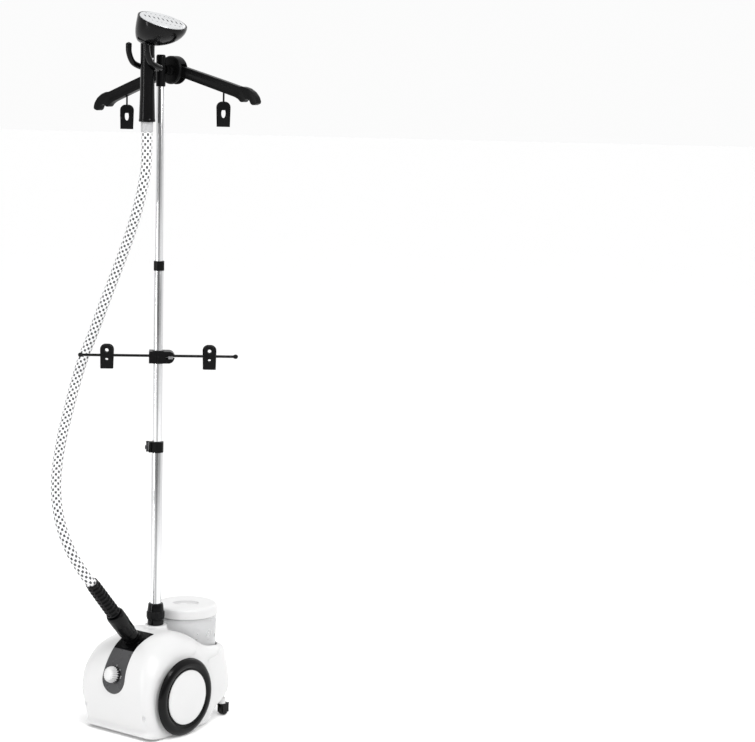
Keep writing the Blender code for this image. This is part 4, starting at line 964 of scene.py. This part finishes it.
# ------------------------------------------------------------------ clip bar, hanger and handset
def jaw(name, width, eyes, hanging):
    """One half of a sprung clip on the +Y side of its rod: a bent plate with rounded shoulders and
    oval eyes, given as (height, half width, half height), and ears round the rod. The halves of a
    hanging clip have a lug as well."""
    thick, half, through = 0.0022, width / 2, (-0.01, 0.03)
    bend = [(0.0005, -CLIP_DOWN), (0.0066, -0.0060), (0.0066, 0.0060), (0.0092, CLIP_UP)]
    bend += [(y + thick, z) for y, z in reversed(bend)]
    plate = prism("plate", bend, -half, half, "X")
    corner = half - 0.0030
    shape = [(-half * 0.93, -CLIP_DOWN), (half * 0.93, -CLIP_DOWN), (half, CLIP_UP - corner)]
    shape += arc(half - corner, CLIP_UP - corner, corner, 0, 90, 8)[1:]
    shape += [(-x, z) for x, z in reversed(shape[3:])] + [(-half, CLIP_UP - corner)]
    combine(plate, [prism("outline", shape, *through, "Y")], "INTERSECT")
    for height, wide, tall in eyes:
        eye = [(wide * cos(a), height + tall * sin(a)) for a in full_turn(32)]
        cut(plate, prism("eye", eye, *through, "Y"))
    if hanging:
        lug = [(-0.0072, 0.006), (0.0072, 0.006), (0.0058, 0.0195), (-0.0058, 0.0195)]
        join(plate, prism("lug", lug, 0.0085, 0.0122, "Y"))
    for side in (-1, 1):
        x = side * (half - 0.0035)
        loop = [(0.0080, 0.0068)] + arc(0.0, 0.0, 0.0056, 60, 300, 16) + [(0.0080, -0.0068)]
        join(plate, prism("ear", loop, x - 0.0009, x + 0.0009, "X"))
    cut(plate, moved(cylinder("bore", 0.0033, -0.02, 0.02, 24), rotation=(0, pi / 2, 0)))
    apply_modifiers(softened(plate, 0.0005, 2, 40))
    plate.name = name
    return plate


def make_clip(prefix, front_body, spot, eyes, hanging=False):
    """A clip's wider rear half, and the front half that hinges on it."""
    for half_name, body, narrower, extra in (("rear", prefix, 0.0, 0.0),
                                             ("front", front_body, FRONT_NARROWER, pi)):
        piece = jaw(f"{prefix}_{half_name}", CLIP_WIDTH - narrower, eyes, hanging)
        place(piece, body, SATIN_BLACK, "black_plastic", f"{prefix}_{half_name}_jaw", at=spot,
              turn=BAR_TURN + extra)


def hook(name):
    """A hanging clip's stem, from its ball down to a yoke that carries the clip's rod."""
    stem_profile = [(0, 0.0118), (0.0020, 0.0118), (0.0020, 0.0470), (0.0027, 0.0484),
                    (0.0031, HOOK_LENGTH), (0.0027, 0.0524), (0, 0.0534)]
    stem = turned(name, rounded(stem_profile, 0.0006, 3), 32)
    join(stem, box("yoke", (-0.0078, -0.0016, 0.0106), (0.0078, 0.0016, 0.0134)))
    rod_profile = [(0, 0.0058), (0.0030, 0.0058), (0.0030, 0.0148), (0.0027, 0.0151), (0, 0.0151)]
    for side in (-1, 1):
        x = side * 0.0066
        join(stem, box("leg", (x - 0.0010, -0.0016, -0.0010), (x + 0.0010, 0.0016, 0.0130)))
        join(stem, moved(turned("rod", rod_profile, 24), rotation=(0, side * pi / 2, 0)))
    return stem


def hang_spot(side, name):
    """Where a hanging clip's rod lies, straight below its hole in the drooping arm."""
    droop = ARM_DROOP[name]
    x = side * (ARM_PIVOT_X + HANG_X * cos(droop) - HANG_HOLE_DROP * sin(droop))
    z = HUB_Z - HANG_X * sin(droop) - HANG_HOLE_DROP * cos(droop) - HOOK_LENGTH
    return Vector((x, HUB_Y, z))


def make_bar():
    axis_at_bar = (0, 0, BAR_Z)
    outline = [(-0.020, 0.0205), (-0.020, -0.0165), (0.022, -0.0165)]
    outline += arc(0.022, -0.0015, 0.015, -90, 0, 10)[1:] + arc(0.022, 0.0055, 0.015, 0, 90, 10)
    clamp = prism("bar_clamp_block", outline, -0.0133, 0.0133)
    side_view = [(-0.030, -0.020), (0.0245, -0.0133)] + arc(0.0237, 0.0, 0.0133, -88, 88, 20)
    side_view += [(0.0245, 0.0133), (-0.030, 0.020)]
    combine(clamp, [prism("side_view", side_view, -0.04, 0.05, "Y")], "INTERSECT")
    rod_hole = moved(cylinder("hole", 0.0032, -0.05, 0.05, 24), (0, BAR_SET_BACK, 0), (0, pi / 2, 0))
    bore = cylinder("bore", 0.0121, -0.03, 0.03, 64)
    slot = box("slot", (0.0172, -0.03, -0.0034), (0.045, 0.03, 0.0034))
    split = box("split", (-0.0006, -0.03, -0.03), (0.0006, -0.010, 0.03))
    cut(clamp, bore, slot, rod_hole, split)
    apply_modifiers(softened(clamp, 0.0009, 3, 40))
    place(clamp, "bar", SATIN_BLACK, "black_plastic", "bar_clamp", at=axis_at_bar, turn=BAR_TURN)
    keep("bar_clamp_bush", GREY_BLACK, 0.0004)
    keep("bar_clamp_lever", LEVER, 0.0007)
    end = rounded([(0, -BAR_HALF), (0.0038, -BAR_HALF + 0.0012), (0.0055, -BAR_HALF + 0.0055),
                   (0.0040, -BAR_HALF + 0.0095), (0.0030, -BAR_HALF + 0.0108)], 0.002, 4)
    rod = turned("clip_rod", end + [(r, -z) for r, z in reversed(end)], 40)
    moved(rod, (0, BAR_SET_BACK, 0), (0, pi / 2, 0))
    place(rod, "bar", BLACK, "black_plastic", "clip_bar", at=axis_at_bar, turn=BAR_TURN)

    bar_turn = Matrix.Rotation(BAR_TURN, 3, "Z")
    for side, name in SIDES:
        on_bar = bar_turn @ Vector((side * BAR_CLIP_X, BAR_SET_BACK, BAR_Z))
        make_clip(f"bar_clip_{name}", f"bar_jaw_{name}", on_bar,
                  ((0.0118, 0.0042, 0.0048), (-0.0085, 0.0036, 0.0030)))
        make_clip(f"hang_clip_{name}", f"hang_jaw_{name}", hang_spot(side, name),
                  ((-0.0010, 0.0046, 0.0100),), hanging=True)
    for side, name in SIDES:
        place(hook(f"swing_hook_{name}"), f"hang_clip_{name}", SATIN_BLACK, "steel",
              f"clip_hook_{name}", at=hang_spot(side, name), turn=BAR_TURN)
        keep(f"arm_pin_{name}", STEEL, 0.0002)


def make_top():
    socket_profile = [(0, 1.5050), (0.0078, 1.5050), (0.0095, 1.5035), (0.0103, 1.5000),
                      (0.0103, 1.4375), (0.0098, 1.4360), (0.0089, 1.4360), (0.0089, 1.4985),
                      (0, 1.4985)]
    neck_profile = [(0, 0.0), (0.0120, 0.0), (0.0110, 0.006), (0.0106, 0.012), (0.0125, 0.0182),
                    (0, 0.0182)]
    socket = turned("pole_cap", rounded(socket_profile, 0.0008, 3), 72)
    neck = turned("neck", rounded(neck_profile, 0.001, 3), 48)
    join(socket, moved(neck, (0, 0.0093, HUB_Z), (-pi / 2, 0, 0)))
    place(socket, "upper_section", SATIN_BLACK, "black_plastic", "pole_top_socket")

    half = [(0.0265, -0.0740, 1.5300), (0.0268, -0.0730, 1.5080), (0.0265, -0.0620, 1.4880),
            (0.0258, -0.0420, 1.4790), (0.0225, -0.0260, 1.4760), (0.0120, -0.0182, 1.4750)]
    route = [(-x, y, z) for x, y, z in half] + [(0.0, -0.0172, 1.4750)] + list(reversed(half))
    path = smooth_path(route, 10)
    reach = sum((b - a).length for a, b in zip(path, path[1:]))
    round_tip, swelling = 0.0045, 0.02

    def thickness(s):
        """The prongs swell a little at their tips and end round."""
        from_end = min(s, reach - s)
        if from_end < round_tip:
            return 0.0068 * sqrt(max(0.02, 1 - (1 - from_end / round_tip) ** 2))
        return 0.0064 + 0.0004 * max(0.0, 1 - from_end / swelling)
    fork, _ = swept_tube("rest_fork", path, thickness, 32)
    place(fork, "upper_section", BLACK, "black_plastic", "handset_fork")

    depth, slot_half = 0.0142, 0.0080
    hub_profile = [(0, -depth), (0.0120, -depth), (0.0125, -depth + 0.0012), (0.0200, -depth + 0.0012),
                   (0.0205, -depth), (HUB_R - 0.003, -depth), (HUB_R, -depth + 0.003),
                   (HUB_R, depth - 0.003), (HUB_R - 0.003, depth), (0, depth)]
    hub = turned("hub_disc", rounded(hub_profile, 0.0012, 3), 96)
    moved(hub, rotation=(pi / 2, 0, 0))
    cut(hub, box("slot", (-0.05, -slot_half, -0.05), (0.05, slot_half, 0.0135)))
    place(hub, "upper_section", SATIN_BLACK, "black_plastic", "hanger_hub", at=(0, HUB_Y, HUB_Z))
    make_arms()


def make_arms():
    top = [(0.1200, 0.0125), (0.1820, 0.0125), (0.1900, 0.0150), (0.2050, 0.0150), (0.2200, 0.0110),
           (0.2320, 0.0030), (0.2380, -0.0060)]
    under = [(0.2370, -0.0100), (0.2290, -0.0160), (0.2220, -0.0150), (0.2150, -0.0075),
             (0.2060, -0.0075), (0.2000, -0.0170), (0.1930, -0.0185), (0.1860, -0.0145),
             (0.1750, -0.0125), (0.0000, -0.0115)]
    outline = rounded([(0.0, 0.0115)] + top + under, 0.0035, 4)
    outline += arc(0.0, 0.0, 0.0115, 270, 90, 20)[1:-1]
    hollow = rounded([(0.030, 0.0030), (0.170, 0.0040), (0.184, 0.0020), (0.184, -0.0060),
                      (0.170, -0.0080), (0.030, -0.0070)], 0.003, 4, closed=True)
    half_depth, web_half_depth = 0.0075, 0.0066
    for side, name in SIDES:
        arm = prism(f"arm_{name}_beam", outline, -half_depth, half_depth, "Y")
        for face in (-1, 1):
            cut(arm, prism("hollow", hollow, face * web_half_depth, face * 0.02, "Y"))
        cut(arm, box("pocket", (0.1305, -0.0036, -0.02), (0.1430, 0.0036, -0.0030)))
        apply_modifiers(softened(arm, 0.0012, 3, 40))
        arm.data.shade_smooth()
        arm.data.set_sharp_from_angle(angle=radians(50))
        if side < 0:
            moved(arm, rotation=(0, 0, pi))
        moved(arm, rotation=(0, side * ARM_DROOP[name], 0))
        place(arm, f"arm_{name}", SATIN_BLACK, "black_plastic", f"hanger_arm_{name}",
              at=(side * ARM_PIVOT_X, HUB_Y, HUB_Z))


def head_ring(angle_share, shrink):
    """One ring of the steam head: 0 is the rim, 1 the neck."""
    theta = radians(90 * angle_share)
    spread_out, drop = cos(theta), sin(theta)
    along = Vector((cos(HEAD_TILT), 0, -sin(HEAD_TILT)))
    neck = Vector((0, HANDLE_Y, HANDLE_TOP + 0.0003))
    neck_radius, neck_slant = 0.0162 - shrink, 0.009
    ring = []
    for phi in full_turn(96):
        rim = HEAD_CENTRE + along * (HEAD_HALF_LENGTH - shrink) * cos(phi) \
            + Vector((0, (HEAD_HALF_WIDTH - shrink) * sin(phi), 0))
        base = neck + Vector((neck_radius * cos(phi), neck_radius * sin(phi),
                              -neck_slant * (1 + cos(phi)) / 2))
        point = base.lerp(rim, spread_out)
        point.z = base.z + (rim.z - base.z) * (1 - drop)
        point.x -= HEAD_BULGE * sin(2 * theta) * (1 - cos(phi)) / 2
        ring.append(tuple(point))
    return ring


def make_handset():
    bottom, top, bore = HANDLE_BOTTOM, HANDLE_TOP, 0.0128
    at_handle = (0, HANDLE_Y, 0)
    profile = [(bore, bottom), (0.0172, bottom), (0.0181, bottom + 0.0012), (0.0181, bottom + 0.0045),
               (0.0174, bottom + 0.0070), (0.0170, bottom + 0.022), (0.0160, bottom + 0.055),
               (0.0154, bottom + 0.090), (0.0153, bottom + 0.130), (0.0156, top - 0.006),
               (0.0152, top), (bore, top)]
    handle = turned("grip_handle", rounded(profile, 0.0018, 4, closed=True), 96)
    place(handle, "handset", BLACK, "black_plastic", "handset_handle", at=at_handle)
    sleeve_profile = [(0.0120, 1.3370), (0.0128, 1.3370), (0.0130, 1.3400), (0.0135, 1.3560),
                      (0.0135, bottom - 0.0003), (0.0120, bottom - 0.0003)]
    sleeve = turned("clear_sleeve", rounded(sleeve_profile, 0.0004, 2, closed=True), 72)
    place(sleeve, "handset", SMOKE, "smoke_plastic", "hose_sleeve", at=at_handle)
    light_profile = [(0, -0.0020), (0.0026, -0.0020), (0.0026, 0.0004), (0, 0.0010)]
    light = turned("grip_light", rounded(light_profile, 0.0004, 3), 24)
    moved(light, (0.0153, 0, bottom + 0.136), (0, pi / 2, 0))
    place(light, "handset", ICON, "white_plastic", at=at_handle)

    steps, inner_steps, wall = 18, 8, 0.0024
    outside = [head_ring(k / steps, 0.0) for k in range(steps + 1)]
    inside = [head_ring(1 - k / inner_steps, wall) for k in range(inner_steps + 1)]
    for i in range(1, inner_steps):
        inside[i] = [tuple(Vector(point) + Vector((0, 0, wall))) for point in inside[i]]
    head = rings_solid("head_bowl", outside + inside, closed_loop=True)
    apply_modifiers(softened(head, 0.0007, 3, 45))
    place(head, "handset", BLACK, "black_plastic", "steam_head")

    plate_profile = [(0, -0.0030), (0.97, -0.0030), (0.985, -0.0005), (0.975, 0.0008),
                     (0.93, 0.0012), (0.90, 0.0022), (0, 0.0026)]
    gap = 0.0029
    plate = turned("oval_steam_plate", rounded(plate_profile, 0.0006, 3), 96)
    plate.data.transform(Matrix.Diagonal((HEAD_HALF_LENGTH - gap, HEAD_HALF_WIDTH - gap, 1, 1)))
    pitch, slot_half_width, slot_half_length = 0.0105, 0.0017, 0.0062
    ports = []
    for k in range(9):
        x = pitch * (k - 4)
        ports.append(box("port", (x - slot_half_width, -slot_half_length, -0.01),
                         (x + slot_half_width, slot_half_length, 0.01)))
    for share in (-0.52, 0.52):
        for k in range(7):
            port = cylinder("port", 0.0018, -0.01, 0.01, 16)
            ports.append(moved(port, (pitch * (k - 3), share * 0.046, 0)))
    for port in ports:
        port.data.transform(Matrix.Rotation(radians(62.0), 4, "Z"))
    cut(plate, *ports)
    moved(plate, HEAD_CENTRE, (0, HEAD_TILT, 0))
    place(plate, "handset", PLATE, "aluminium", "steam_plate")


def finish_small_nodes():
    for node, look, bevel in (
            ("base_tray", WHITE, 0.0008), ("pole_receiver", WHITE, 0), ("rotary_switch", STEEL, 0),
            ("steam_boiler", CAST, 0.0006), ("cord_inlet", RUBBER, 0.0005), ("wheel_axle", STEEL, 0.0003),
            ("valve_cap", SATIN_BLACK, 0.0004), ("valve_plunger", RUBBER, 0.0004),
            ("caster_fork_left", BLACK, 0.0007), ("caster_fork_right", BLACK, 0.0007),
            ("caster_wheel_left", RUBBER, 0.0008), ("caster_wheel_right", RUBBER, 0.0008)):
        keep(node, look, bevel)


set_stage()
make_hose()
make_housing()
make_knob()
make_tank()
make_wheels()
make_pole()
make_bar()
make_top()
make_handset()
finish_small_nodes()

bpy.context.view_layer.update()
